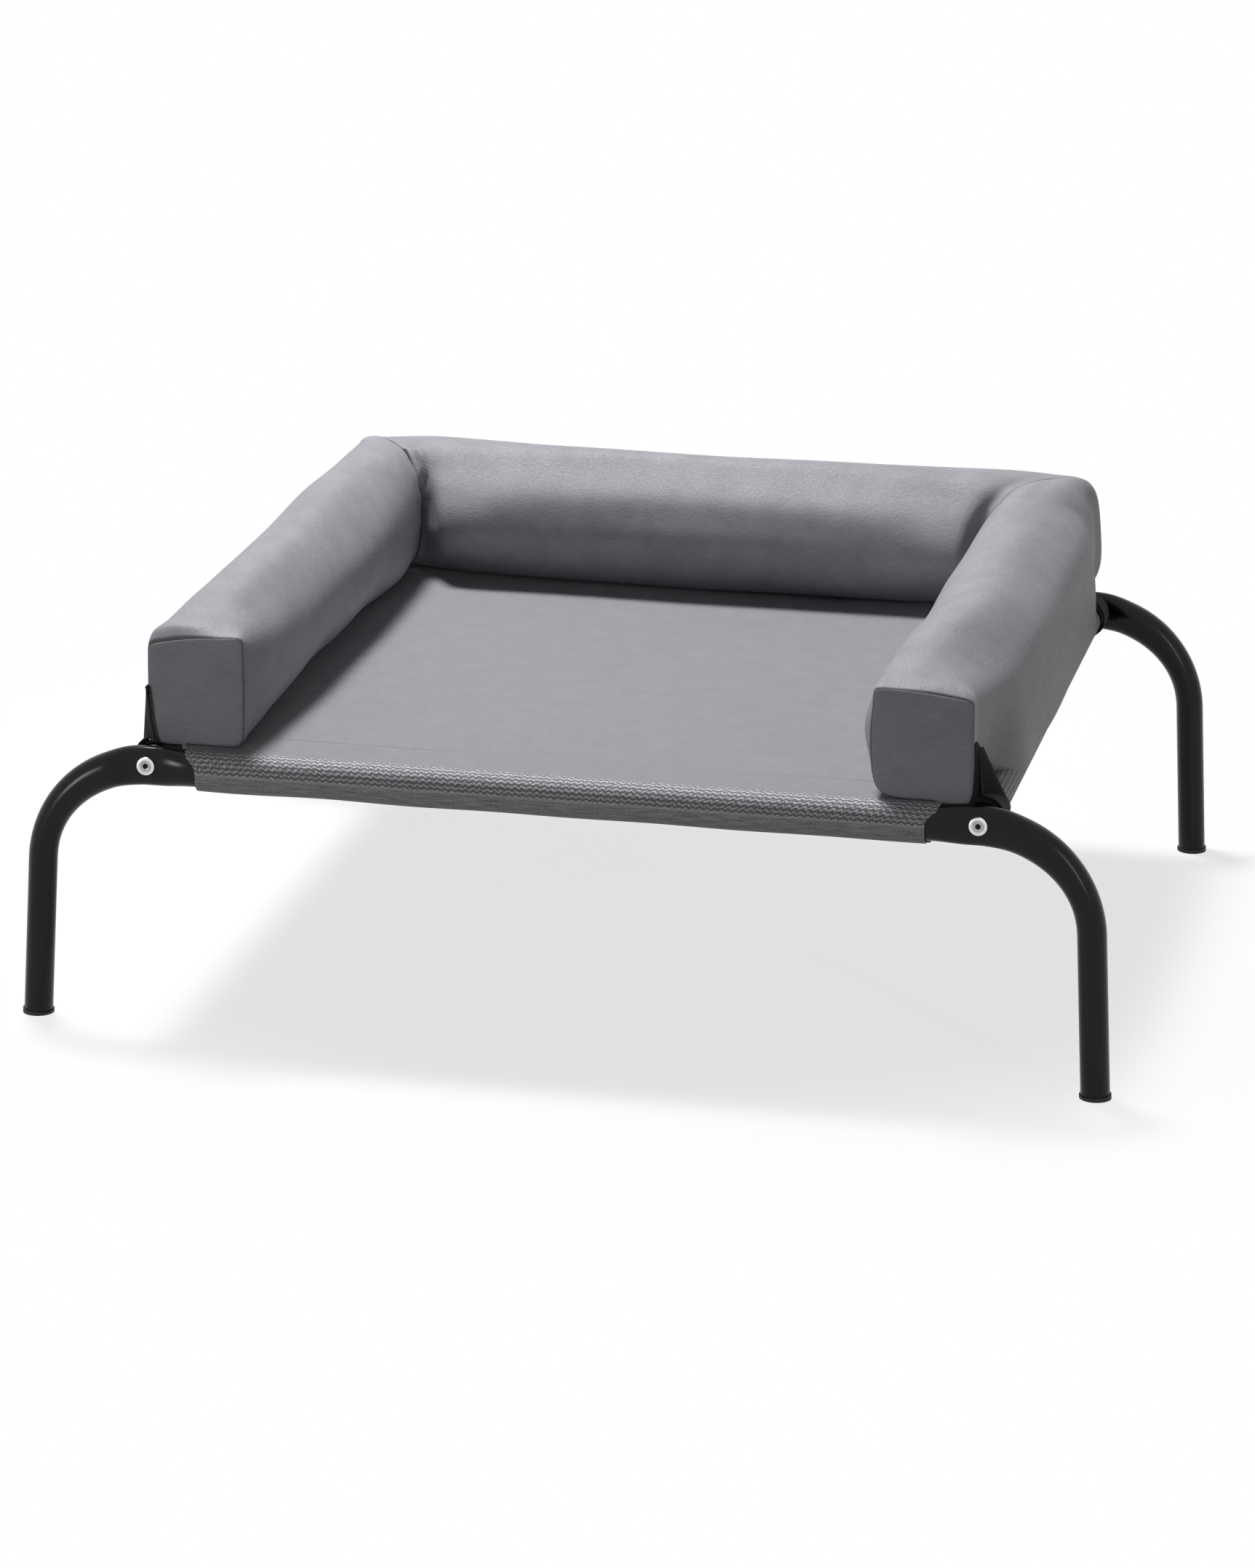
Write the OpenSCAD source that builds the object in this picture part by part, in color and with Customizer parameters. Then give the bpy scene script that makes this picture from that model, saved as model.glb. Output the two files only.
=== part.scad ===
// Raised dog cot: two bent tube bows joined by two side rails, a woven sling with a sleeve
// round each tube, and a three-sided stuffed bolster held at the corners by straps.
// Millimetres. X runs along the bows, Y from front to rear, Z up. The origin is on the floor,
// midway between the four feet.

/* [Frame] */
// Outer diameter of the frame tube
tube_d = 22; // [18:0.5:28]
// Wall of the frame tube
tube_wall = 1.2; // [1:0.1:2]
// Spacing of the front and rear bows, between tube centres
bow_spacing = 616; // [480:1:900]
// Spacing of the left and right side rails, between tube centres
rail_spacing = 630; // [480:1:1000]
// Height of the bow's level run above the floor, to the tube's centre
bow_h = 205; // [160:1:300]
// Radius of the bend between level run and leg, to the tube's centre
bend_r = 85; // [50:1:110]
// Outward lean of each leg, in degrees
leg_splay = 3; // [0.5:0.5:8]
// How much thinner the tube's radius is in the bend than in its straight runs
bend_thin = 0.05; // [0.03:0.01:0.2]
// Depth of the flat pressed into the bow on both sides of a bolt
press_depth = 3; // [2:0.5:4]
// Length of that flat along the bow
press_l = 34; // [30:1:50]

/* [Bolts] */
// Diameter of the bolt's shank
bolt_d = 6; // [4:0.5:8]
// Diameter of the flat bolt head
bolt_head_d = 14; // [10:0.5:16]
// Thickness of the bolt head
bolt_head_h = 2.6; // [2:0.1:4]
// Hexagon socket in the bolt head, across flats
socket_af = 4; // [3:0.5:5]
// Depth of the hexagon socket
socket_depth = 1.6; // [1:0.1:1.8]
// Length of bolt held by the insert in the rail's end
bolt_reach = 14; // [8:1:18]
// Radial clearance round the shank
bolt_clear = 0.15; // [0.1:0.05:0.4]
// Length of the threaded insert in the rail's end
insert_l = 20; // [18:1:40]
// Radial clearance of the insert in the rail's bore
insert_clear = 0.05; // [0.02:0.01:0.1]

/* [Feet] */
// Height of the leg tube's end above the floor, taken up by the plug's lip
foot_h = 3; // [2:0.5:6]
// How far the plug's lip stands proud of the tube
foot_lip = 1; // [0.5:0.5:3]
// Length of the plug's stem inside the leg
foot_stem_l = 22; // [12:1:35]
// Radial clearance of the stem in the leg
foot_clear = 0.1; // [0.05:0.05:0.3]

/* [Sling] */
// Thickness of the woven cloth
fabric_t = 1.2; // [0.8:0.1:2]
// Clearance between a tube and its sleeve
sleeve_clear = 0.3; // [0.2:0.1:1]
// How far a sleeve hangs loose below its tube
sleeve_drop = 2.5; // [0.5:0.5:6]
// Bare length of bow between a side rail's centre and the sleeve's end
bare_bow_l = 39; // [30:1:70]
// Gap between a strap and the end of the side sleeve
sleeve_strap_gap = 3; // [1:1:20]
// Gap left at a sewn edge
seam_gap = 0.2; // [0.1:0.1:0.4]

/* [Bolster] */
// Width of the bolster's section
bolster_w = 82; // [60:1:110]
// Height of the bolster's section at its crown
bolster_h = 104; // [70:1:130]
// Width of the square end panel at the front of an arm
end_w = 74; // [50:1:100]
// Height of that end panel
end_h = 83; // [60:1:110]
// How far the bolster's outer face stands outside the tube centres
bolster_overhang = 3; // [-2:0.5:6]
// How far an arm's end panel stays behind the front bow's centre
arm_setback = 12; // [4:1:40]
// Length over which an arm swells from its end panel to the full section
end_swell_l = 260; // [100:5:300]
// Length over which an arm rounds off from its square end panel
end_round_l = 100; // [40:5:150]
// Depth by which the cover is drawn in at a corner seam
corner_draw = 5; // [1:0.5:10]
// Length over which the cover is drawn in towards a corner seam
corner_draw_l = 45; // [20:5:80]
// Thickness of the bolster's cover
cover_t = 1.5; // [1:0.1:3]
// Clearance between the filling and its cover
core_clear = 0.4; // [0.2:0.1:1]
// Gap between the bolster's base and the sling
rest_gap = 0.3; // [0.2:0.1:1]

/* [Straps] */
// Width of a strap where it goes round the side rail
strap_w = 28; // [15:1:40]
// Thickness of the strap
strap_t = 1.2; // [0.8:0.1:2]
// Clearance of the strap to the rail and to its tab
strap_clear = 0.3; // [0.2:0.1:0.6]
// Gap between the bow and the strap
strap_bow_gap = 4; // [2:1:15]
// Height of the strap's flap above the rail's centre
flap_h = 36; // [26:1:50]
// Height on the bolster at which a tab is sewn on, above the rail's centre
tab_top_h = 58; // [50:1:75]
// Width of a tab where it is sewn to the bolster
tab_top_w = 9; // [6:1:14]

/* [Hidden] */
$fn = 64;
// Points round the bolster's section
section_n = 24;
// Steps along each piece of the bolster
bolster_steps = 12;
// Squareness of the section: its base, its crown and the end panel
base_square = 6;
crown_square = 2.5;
end_square = 7;
// A bend runs this many degrees into the straight tube at each end
bend_lap = 0.5;
// A cut runs this much past the face that it opens
over = 1;

tube_r = tube_d / 2;
bore_r = tube_r - tube_wall;
bow_y = bow_spacing / 2;
rail_x = rail_spacing / 2;
bend_end_x = rail_x + bend_r * cos(leg_splay);
bend_end_z = bow_h - bend_r + bend_r * sin(leg_splay);
leg_l = (bend_end_z - foot_h) / cos(leg_splay);
foot_x = bend_end_x + leg_l * sin(leg_splay);
flat_r = tube_r - press_depth;
rail_end_y = bow_y - flat_r;
bolt_l = 2 * flat_r + bolt_reach;

sleeve_in_r = tube_r + sleeve_clear;
sleeve_out_r = sleeve_in_r + fabric_t;
sling_top = bow_h + sleeve_out_r;
sling_edge = sqrt(pow(sleeve_out_r, 2) - pow(sleeve_in_r, 2)) + seam_gap;
strap_near_y = bow_y - tube_r - strap_bow_gap;
strap_far_y = strap_near_y - strap_w;
bow_sleeve_x = rail_x - bare_bow_l;
rail_sleeve_y = strap_far_y - sleeve_strap_gap;

strap_in_r = tube_r + strap_clear;
strap_out_r = strap_in_r + strap_t;
bolster_base = bow_h + max(sleeve_out_r, strap_out_r) + rest_gap;
arm_x = rail_x + bolster_overhang - bolster_w / 2;
back_y = bow_y + bolster_overhang - bolster_w / 2;
arm_front_y = arm_setback - bow_y;
arm_l = back_y - arm_front_y;
back_l = 2 * arm_x;

tube_black = [0.09, 0.09, 0.1];
bolt_silver = [0.8, 0.8, 0.8];
insert_zinc = [0.6, 0.6, 0.58];
sling_grey = [0.56, 0.55, 0.57];
sleeve_grey = [0.36, 0.36, 0.38];
cover_grey = [0.5, 0.49, 0.52];
panel_grey = [0.38, 0.37, 0.39];
core_white = [0.92, 0.92, 0.9];
strap_black = [0.06, 0.06, 0.07];

// Places a front right piece at the corner on side sx (left -1) and row sy (front -1)
module at_corner(sx, sy) {
    mirror([sx < 0 ? 1 : 0, 0, 0])
        mirror([0, sy > 0 ? 1 : 0, 0])
            children();
}

// Right bend and leg of a bow, as a solid rod of radius r with its leg longer by extra
module bend_and_leg_rod(r, extra) {
    translate([rail_x, 0, bow_h - bend_r])
        rotate([90, 0, 0])
            rotate([0, 0, leg_splay - bend_lap])
                rotate_extrude(angle = 90 - leg_splay + 2 * bend_lap)
                    translate([bend_r, 0])
                        circle(r = r - bend_thin);
    translate([bend_end_x, 0, bend_end_z])
        rotate([0, 180 - leg_splay, 0])
            cylinder(r = r, h = leg_l + extra);
}

// Whole path of a bow, as a solid rod
module bow_rod(r, extra = 0) {
    translate([0, 0, bow_h])
        rotate([0, 90, 0])
            cylinder(r = r, h = rail_spacing, center = true);
    bend_and_leg_rod(r, extra);
    mirror([1, 0, 0])
        bend_and_leg_rod(r, extra);
}

// Box that presses the bow's outer (-1) and inner (+1) side flat at a rail, grown by wall
module press_box(side, wall) {
    box_l = press_l + 2 * wall;
    box_y = side > 0 ? flat_r - wall : -tube_r - over;
    translate([rail_x - box_l / 2, box_y, bow_h - tube_d])
        cube([box_l, press_depth + wall + over, 2 * tube_d]);
}

module press_boxes(wall) {
    for (sx = [-1, 1])
        for (side = [-1, 1])
            at_corner(sx, -1)
                press_box(side, wall);
}

// Front bow with its centre plane at y = 0
module bow() {
    difference() {
        union() {
            difference() {
                bow_rod(tube_r);
                bow_rod(bore_r, over);
            }
            intersection() {
                bow_rod(tube_r);
                press_boxes(tube_wall);
            }
        }
        press_boxes(0);
        for (sx = [-1, 1])
            translate([sx * rail_x, 0, bow_h])
                rotate([90, 0, 0])
                    cylinder(r = bolt_d / 2 + bolt_clear, h = 2 * tube_d, center = true);
    }
}

module side_rail(sx) {
    translate([sx * rail_x, 0, bow_h])
        rotate([90, 0, 0])
            difference() {
                cylinder(r = tube_r, h = 2 * rail_end_y, center = true);
                cylinder(r = bore_r, h = 2 * rail_end_y + 2 * over, center = true);
            }
}

// Threaded insert in the front end of the right side rail
module rail_insert() {
    translate([rail_x, insert_l - rail_end_y, bow_h])
        rotate([90, 0, 0])
            difference() {
                cylinder(r = bore_r - insert_clear, h = insert_l);
                translate([0, 0, -over])
                    cylinder(r = bolt_d / 2 + bolt_clear, h = insert_l + 2 * over);
            }
}

// Flat-headed bolt through the front bow into the right side rail
module frame_bolt() {
    translate([rail_x, -bow_y - flat_r, bow_h])
        rotate([-90, 0, 0])
            difference() {
                union() {
                    cylinder(r = bolt_d / 2, h = bolt_l);
                    translate([0, 0, -bolt_head_h])
                        cylinder(r = bolt_head_d / 2, h = bolt_head_h);
                }
                translate([0, 0, -bolt_head_h - over])
                    cylinder(r = socket_af / sqrt(3), h = socket_depth + over, $fn = 6);
            }
}

// Plug in the front right leg, cut level where it stands on the floor
module foot_plug() {
    lip_r = tube_r + foot_lip;
    lip_l = foot_h + lip_r;
    intersection() {
        translate([foot_x, -bow_y, foot_h])
            rotate([0, 180 - leg_splay, 0]) {
                translate([0, 0, -foot_stem_l])
                    cylinder(r = bore_r - foot_clear, h = foot_stem_l);
                cylinder(r = lip_r, h = lip_l);
            }
        translate([foot_x - tube_d - foot_stem_l, -bow_y - tube_d, 0])
            cube([2 * (tube_d + foot_stem_l), 2 * tube_d, foot_h + tube_d + foot_stem_l]);
    }
}

// Outline of a sleeve round a tube: round on top, hanging loose below
module sleeve_outline(r) {
    circle(r = r);
    translate([0, -sleeve_drop])
        circle(r = r);
    translate([-r, -sleeve_drop])
        square([2 * r, sleeve_drop]);
}

// Sleeve of the given length, lying along Y with its tube's centre at the origin
module sleeve(len) {
    rotate([90, 0, 0])
        linear_extrude(height = len, center = true)
            difference() {
                sleeve_outline(sleeve_out_r);
                sleeve_outline(sleeve_in_r);
            }
}

module bow_sleeve(sy) {
    color(sleeve_grey)
        translate([0, sy * bow_y, bow_h])
            rotate([0, 0, 90])
                sleeve(2 * bow_sleeve_x);
}

module rail_sleeve(sx) {
    color(sleeve_grey)
        translate([sx * rail_x, 0, bow_h])
            sleeve(2 * rail_sleeve_y);
}

// Flat cloth between the sleeves, with its corners cut away
module sling_panel() {
    edge_x = rail_x - sling_edge;
    edge_y = bow_y - sling_edge;
    color(sling_grey)
        translate([0, 0, sling_top - fabric_t])
            linear_extrude(height = fabric_t)
                polygon([
                    [bow_sleeve_x, -edge_y], [edge_x, -rail_sleeve_y],
                    [edge_x, rail_sleeve_y], [bow_sleeve_x, edge_y],
                    [-bow_sleeve_x, edge_y], [-edge_x, rail_sleeve_y],
                    [-edge_x, -rail_sleeve_y], [-bow_sleeve_x, -edge_y]
                ]);
}

// Signed power, the building block of a squared-off round section
function spow(v, p) = sign(v) * pow(abs(v), p);
function mix(a, b, f) = a + (b - a) * f;
// Share of a swell reached at distance d from where it starts
function swell(d, len) = d >= len ? 1 : 1 - pow(1 - d / len, 2);

// Point of the section at angle t: [outward, up], for a width, a height and a squareness of
// crown and base, drawn in all round by inset. Narrow sections keep the outer face in place.
function section_point(t, w, h, crown, base, inset) =
    let (p = 2 / (sin(t) > 0 ? crown : base))
        [(bolster_w - w) / 2 + (w / 2 - inset) * spow(cos(t), p),
            h / 2 + (h / 2 - inset) * spow(sin(t), p)];

// Draw-in at distance d from a corner seam
function corner_pull(d) = corner_draw * (1 - swell(d, corner_draw_l));

// Section of an arm at distance d from its end panel, the seam at distance arm_l
function arm_section(d, t, inset) =
    let (f = swell(d, end_swell_l), round = swell(d, end_round_l), pull = corner_pull(arm_l - d))
        section_point(t, mix(end_w, bolster_w, f) - pull, mix(end_h, bolster_h, f) - pull,
            mix(end_square, crown_square, round), mix(end_square, base_square, round), inset);

// Section of the back piece at distance d from its left corner seam
function back_section(d, t, inset) =
    let (pull = corner_pull(min(d, back_l - d)))
        section_point(t, bolster_w - pull, bolster_h - pull, crown_square, base_square, inset);

// Stations along a piece, closer together towards its ends
function station(k) = (1 - cos(180 * k / bolster_steps)) / 2;

// Point of the right arm at share f of its length; its rear end lies in the corner's mitre
function arm_point(f, t, inset, trim) =
    let (p = arm_section(f * arm_l, t, inset))
        [arm_x + p[0], mix(arm_front_y + trim, back_y + p[0] - seam_gap / 2 - trim, f),
            bolster_base + p[1]];

// Point of the back piece at share f of its length; both ends lie in a mitre
function back_point(f, t, inset, trim) =
    let (
        p = back_section(f * back_l, t, inset),
        reach = arm_x + p[0] - seam_gap / 2 - trim
    )
        [mix(reach, -reach, f), back_y + p[0], bolster_base + p[1]];

function piece_point(is_arm, f, t, inset, trim) =
    is_arm ? arm_point(f, t, inset, trim) : back_point(f, t, inset, trim);

// All rings of a piece, one after another
function piece_rings(is_arm, inset, trim) = [
    for (k = [0 : bolster_steps])
        for (j = [0 : section_n - 1])
            piece_point(is_arm, station(k), 360 * j / section_n, inset, trim)
];

// Index of point j of ring k
function at(k, j) = k * section_n + j % section_n;
// Skin between the rings, as triangles; flip turns it inside out and first offsets its points
function skin(first, flip) = [
    for (k = [0 : bolster_steps - 1])
        for (j = [0 : section_n - 1])
            for (half = [0, 1])
                let (
                    a = first + at(k, j), b = first + at(k, j + 1),
                    c = first + at(k + 1, j + 1), d = first + at(k + 1, j),
                    tri = half == 0 ? [a, b, c] : [a, c, d]
                )
                    flip ? [tri[2], tri[1], tri[0]] : tri
];
// Rim between the outer and the inner skin at ring k
function rim(k, inner, flip) = [
    for (j = [0 : section_n - 1])
        for (half = [0, 1])
            let (
                a = at(k, j), b = at(k, j + 1), c = inner + at(k, j + 1), d = inner + at(k, j),
                tri = half == 0 ? [a, b, c] : [a, c, d]
            )
                flip ? [tri[2], tri[1], tri[0]] : tri
];
// Closed end of a core at ring k
function cap(k, flip) = [
    for (j = [1 : section_n - 2])
        let (tri = [at(k, 0), at(k, j), at(k, j + 1)])
            flip ? [tri[2], tri[1], tri[0]] : tri
];

// Sewn tube of cloth, open at both ends
module bolster_cover(is_arm) {
    outer = piece_rings(is_arm, 0, 0);
    inner = piece_rings(is_arm, cover_t, 0);
    n = len(outer);
    polyhedron(
        points = concat(outer, inner),
        faces = concat(skin(0, false), skin(n, true), rim(0, n, true), rim(bolster_steps, n, false))
    );
}

// Filling inside a cover
module bolster_core(is_arm) {
    inset = cover_t + core_clear;
    polyhedron(
        points = piece_rings(is_arm, inset, core_clear),
        faces = concat(skin(0, false), cap(0, true), cap(bolster_steps, false))
    );
}

// Square panel that closes the front of the right arm
module end_panel() {
    translate([arm_x, arm_front_y - seam_gap / 2, bolster_base])
        rotate([90, 0, 0])
            linear_extrude(height = cover_t)
                polygon([
                    for (j = [0 : section_n - 1])
                        section_point(360 * j / section_n, end_w, end_h, end_square, end_square, 0)
                ]);
}

// Strap round the front end of the right side rail, with its flap upright outside the tab
module strap() {
    translate([rail_x, -strap_far_y, bow_h])
        rotate([90, 0, 0])
            linear_extrude(height = strap_w)
                union() {
                    difference() {
                        circle(r = strap_out_r);
                        circle(r = strap_in_r);
                    }
                    translate([strap_in_r, 0])
                        square([strap_t, flap_h]);
                }
}

// Tab sewn to the bolster's outer face, coming down inside the flap
module tab() {
    out_x = strap_in_r - strap_clear;
    in_x = out_x - strap_t;
    face_x = seam_gap + bolster_overhang;
    low_z = strap_in_r;
    bend_z = flap_h;
    translate([rail_x, 0, bow_h])
        intersection() {
            translate([0, -strap_far_y, 0])
                rotate([90, 0, 0])
                    linear_extrude(height = strap_w)
                        polygon([
                            [out_x, low_z], [out_x, bend_z], [face_x, tab_top_h],
                            [face_x, tab_top_h - 2 * strap_t], [in_x, bend_z - strap_t],
                            [in_x, low_z]
                        ]);
            translate([-tube_r, 0, 0])
                rotate([90, 0, 90])
                    linear_extrude(height = tube_d + tube_r)
                        polygon([
                            [-strap_near_y, low_z - over], [-strap_far_y, low_z - over],
                            [-strap_far_y, bend_z / 2],
                            [-strap_near_y + tab_top_w, tab_top_h + over],
                            [-strap_near_y, tab_top_h + over]
                        ]);
        }
}

module front_bow() { color(tube_black) translate([0, -bow_y, 0]) bow(); }
module rear_bow() { color(tube_black) mirror([0, 1, 0]) translate([0, -bow_y, 0]) bow(); }
module corner_insert(sx, sy) { color(insert_zinc) at_corner(sx, sy) rail_insert(); }
module corner_bolt(sx, sy) { color(bolt_silver) at_corner(sx, sy) frame_bolt(); }
module corner_foot(sx, sy) { color(tube_black) at_corner(sx, sy) foot_plug(); }
module corner_tab(sx, sy) { color(strap_black) at_corner(sx, sy) tab(); }
module corner_strap(sx, sy) { color(strap_black) at_corner(sx, sy) strap(); }
module arm_cover(sx) { color(cover_grey) at_corner(sx, -1) bolster_cover(true); }
module arm_core(sx) { color(core_white) at_corner(sx, -1) bolster_core(true); }
module arm_end_panel(sx) { color(panel_grey) at_corner(sx, -1) end_panel(); }

front_bow();
rear_bow();
color(tube_black) side_rail(-1);  // left_side_rail
color(tube_black) side_rail(1);  // right_side_rail
corner_insert(-1, -1);  // front_left_insert
corner_insert(1, -1);  // front_right_insert
corner_insert(-1, 1);  // rear_left_insert
corner_insert(1, 1);  // rear_right_insert
corner_bolt(-1, -1);  // front_left_bolt
corner_bolt(1, -1);  // front_right_bolt
corner_bolt(-1, 1);  // rear_left_bolt
corner_bolt(1, 1);  // rear_right_bolt
corner_foot(-1, -1);  // front_left_foot
corner_foot(1, -1);  // front_right_foot
corner_foot(-1, 1);  // rear_left_foot
corner_foot(1, 1);  // rear_right_foot
sling_panel();
bow_sleeve(-1);  // front_sleeve
bow_sleeve(1);  // rear_sleeve
rail_sleeve(-1);  // left_sleeve
rail_sleeve(1);  // right_sleeve
arm_cover(-1);  // left_bolster_cover
color(cover_grey) bolster_cover(false);  // rear_bolster_cover
arm_cover(1);  // right_bolster_cover
arm_core(-1);  // left_bolster_core
color(core_white) bolster_core(false);  // rear_bolster_core
arm_core(1);  // right_bolster_core
arm_end_panel(-1);  // left_end_panel
arm_end_panel(1);  // right_end_panel
corner_tab(-1, -1);  // front_left_tab
corner_tab(1, -1);  // front_right_tab
corner_tab(-1, 1);  // rear_left_tab
corner_tab(1, 1);  // rear_right_tab
corner_strap(-1, -1);  // front_left_strap
corner_strap(1, -1);  // front_right_strap
corner_strap(-1, 1);  // rear_left_strap
corner_strap(1, 1);  // rear_right_strap
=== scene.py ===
"""Looks of the raised dog cot: tube frame, woven sling, stuffed bolster, straps, light and camera.

Shapes are worked out in millimetres and turned into metres when a piece is made. X runs along
the bows, Y from front to rear, Z up. Side is -1 for left and 1 for right, row -1 for front and
1 for rear. A named pair of numbers is a range, unless its comment says otherwise.
"""

import math

import bmesh
import bpy
import numpy as np
from mathutils import Matrix, Vector


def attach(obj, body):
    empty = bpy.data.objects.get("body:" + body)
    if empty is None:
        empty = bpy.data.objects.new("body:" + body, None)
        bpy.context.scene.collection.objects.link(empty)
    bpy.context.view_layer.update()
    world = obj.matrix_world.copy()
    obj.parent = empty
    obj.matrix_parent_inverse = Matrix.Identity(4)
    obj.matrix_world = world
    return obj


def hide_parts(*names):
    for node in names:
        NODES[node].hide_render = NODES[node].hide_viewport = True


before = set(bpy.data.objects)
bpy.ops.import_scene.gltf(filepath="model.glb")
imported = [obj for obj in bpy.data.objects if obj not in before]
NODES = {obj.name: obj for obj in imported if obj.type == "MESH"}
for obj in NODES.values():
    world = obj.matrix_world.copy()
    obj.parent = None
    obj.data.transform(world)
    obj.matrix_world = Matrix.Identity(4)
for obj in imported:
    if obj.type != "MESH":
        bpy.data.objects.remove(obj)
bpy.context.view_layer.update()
MM = 0.001
TURN = 2 * math.pi
SIDES = {"left": -1, "right": 1}
ROWS = {"front": -1, "rear": 1}
COT_CORNERS = {
    f"{row_name}_{side_name}": (side, row)
    for row_name, row in ROWS.items()
    for side_name, side in SIDES.items()
}

# Sizes of the solids
TUBE_R = 11.0
TUBE_WALL = 1.2
BOW_Y = 308.0
RAIL_X = 315.0
BOW_H = 205.0
BEND_R = 85.0
SPLAY = math.radians(3)
LEG_L = 121.6
FLAT_R = 8.0
CLOTH_T = 1.2
SLEEVE_R = 12.5
BOW_SLEEVE_DROP = 6.0
RAIL_SLEEVE_DROP = 1.2
SLING_TOP = BOW_H + SLEEVE_R
BOW_SLEEVE_X = 276.0
RAIL_SLEEVE_Y = 262.0
STRAP_NEAR_Y = 293.0
STRAP_FAR_Y = 265.0
STRAP_T = 1.2
STRAP_IN_R = 11.3
BOLSTER_W = 82.0
BOLSTER_H = 107.5
END_W = 74.0
END_H = 83.0
BOLSTER_BASE = 217.8
ARM_X = 277.0
BACK_Y = 270.0
ARM_FRONT_Y = -296.0
COVER_T = 1.5
BOLT_HEAD_R = 7.0
BOLT_HEAD_H = 2.6
BOLT_R = 3.0
BOLT_L = 30.0
SOCKET_AF = 4.0
SOCKET_DEPTH = 1.6


def mix(a, b, share):
    return a + (b - a) * share


def smooth(value, low, high):
    """Smooth step from 0 at low to 1 at high."""
    share = np.clip((np.asarray(value, float) - low) / (high - low), 0, 1)
    return share * share * (3 - 2 * share)


def fade(value, low, high):
    """Smooth step from 1 at low to 0 at high."""
    return 1 - smooth(value, low, high)


def bump_at(value, centre, width):
    """Smooth hump of height 1 at centre."""
    return np.exp(-(((np.asarray(value, float) - centre) / width) ** 2))


def signed_power(value, power):
    return np.sign(value) * np.abs(value) ** power


def by_side(values, x):
    """The left value where x is negative and the right one elsewhere."""
    return np.where(x < 0, values[-1], values[1])


def unevenness(seed, *axes, waves=7):
    """Smooth repeatable unevenness of about -1 to 1; each axis is given in units of its grain."""
    draw = np.random.RandomState(seed)
    total = 0
    for _ in range(waves):
        phase = draw.uniform(0, TURN)
        for axis in axes:
            phase = phase + draw.uniform(-1, 1) * TURN * np.asarray(axis, float)
        total = total + np.sin(phase)
    return total / math.sqrt(waves)


def normals_of(grid, closed):
    """Unit normals of a grid of points (rows, columns, 3); closed joins the last column to the first."""
    along = np.gradient(grid, axis=0)
    if closed:
        around = np.roll(grid, -1, axis=1) - np.roll(grid, 1, axis=1)
    else:
        around = np.gradient(grid, axis=1)
    normal = np.cross(along, around)
    return normal / np.maximum(np.linalg.norm(normal, axis=2, keepdims=True), 1e-9)


def lengths_along(line):
    """Distance of each point of a line from its start."""
    steps = np.linalg.norm(np.diff(line, axis=0), axis=1)
    return np.concatenate([[0], np.cumsum(steps)])


def respaced(line, count):
    """The line with count points at equal distances."""
    reach = lengths_along(line)
    wanted = np.linspace(0, reach[-1], count)
    return np.stack([np.interp(wanted, reach, values) for values in line.T], 1)


def rows_between(grid, shares, wanted):
    """Rows of a grid at the wanted shares of its length, on smooth curves through its own rows."""
    slopes = np.gradient(grid, shares, axis=0)
    at = np.clip(np.searchsorted(shares, wanted, side="right") - 1, 0, len(shares) - 2)
    width = (shares[at + 1] - shares[at])[:, None, None]
    t = ((wanted - shares[at]) / (shares[at + 1] - shares[at]))[:, None, None]
    return (
        (2 * t**3 - 3 * t**2 + 1) * grid[at]
        + (t**3 - 2 * t**2 + t) * width * slopes[at]
        + (3 * t**2 - 2 * t**3) * grid[at + 1]
        + (t**3 - t**2) * width * slopes[at + 1]
    )


# Building of pieces

SHARP_EDGE = 40.0


class Shape:
    """Points, faces and cloth coordinates of one piece, collected part by part."""

    def __init__(self):
        self.points = []
        self.faces = []
        self.cloth = []
        self.count = 0

    def add(self, points):
        """Adds points and returns the index of the first one."""
        points = np.asarray(points, float).reshape(-1, 3)
        self.points.append(points)
        self.count += len(points)
        return self.count - len(points)

    def skin(self, grid, cloth, closed):
        """Adds a grid of points and the quads over it, and returns the index of its first point.
        Its cloth coordinates have one column more where it is closed."""
        rows, columns = grid.shape[:2]
        first = self.add(grid)
        for k in range(rows - 1):
            near = first + k * columns
            far = near + columns
            for j in range(columns if closed else columns - 1):
                step = (j + 1) % columns
                self.faces.append((near + j, near + step, far + step, far + j))
                self.cloth.append((cloth[k, j], cloth[k, j + 1], cloth[k + 1, j + 1], cloth[k + 1, j]))
        return first

    def band(self, ring, other):
        """Quads between two closed rings of point indices."""
        for j, (near, far) in enumerate(zip(ring, other)):
            step = (j + 1) % len(ring)
            self.faces.append((near, ring[step], other[step], far))
            self.cloth.append(((j, 0), (j + 1, 0), (j + 1, CLOTH_T), (j, CLOTH_T)))

    def cap(self, ring, spots=None):
        """One face inside a ring of point indices, with its cloth coordinates where they matter."""
        self.faces.append(tuple(ring))
        self.cloth.append([(j, 0) for j in range(len(ring))] if spots is None else spots)

    def mesh(self, name, sharp=SHARP_EDGE):
        made = bpy.data.meshes.new(name)
        made.from_pydata((np.concatenate(self.points) * MM).tolist(), [], self.faces)
        layer = made.uv_layers.new(name="cloth")
        spots = np.array([spot for face in self.cloth for spot in face], np.float32) * MM
        layer.uv.foreach_set("vector", spots.ravel())
        work = bmesh.new()
        work.from_mesh(made)
        bmesh.ops.recalc_face_normals(work, faces=work.faces)
        work.to_mesh(made)
        work.free()
        made.shade_smooth()
        made.set_sharp_from_angle(angle=math.radians(sharp))
        return made


def ring_indices(first, row, columns):
    return [first + row * columns + j for j in range(columns)]


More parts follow.
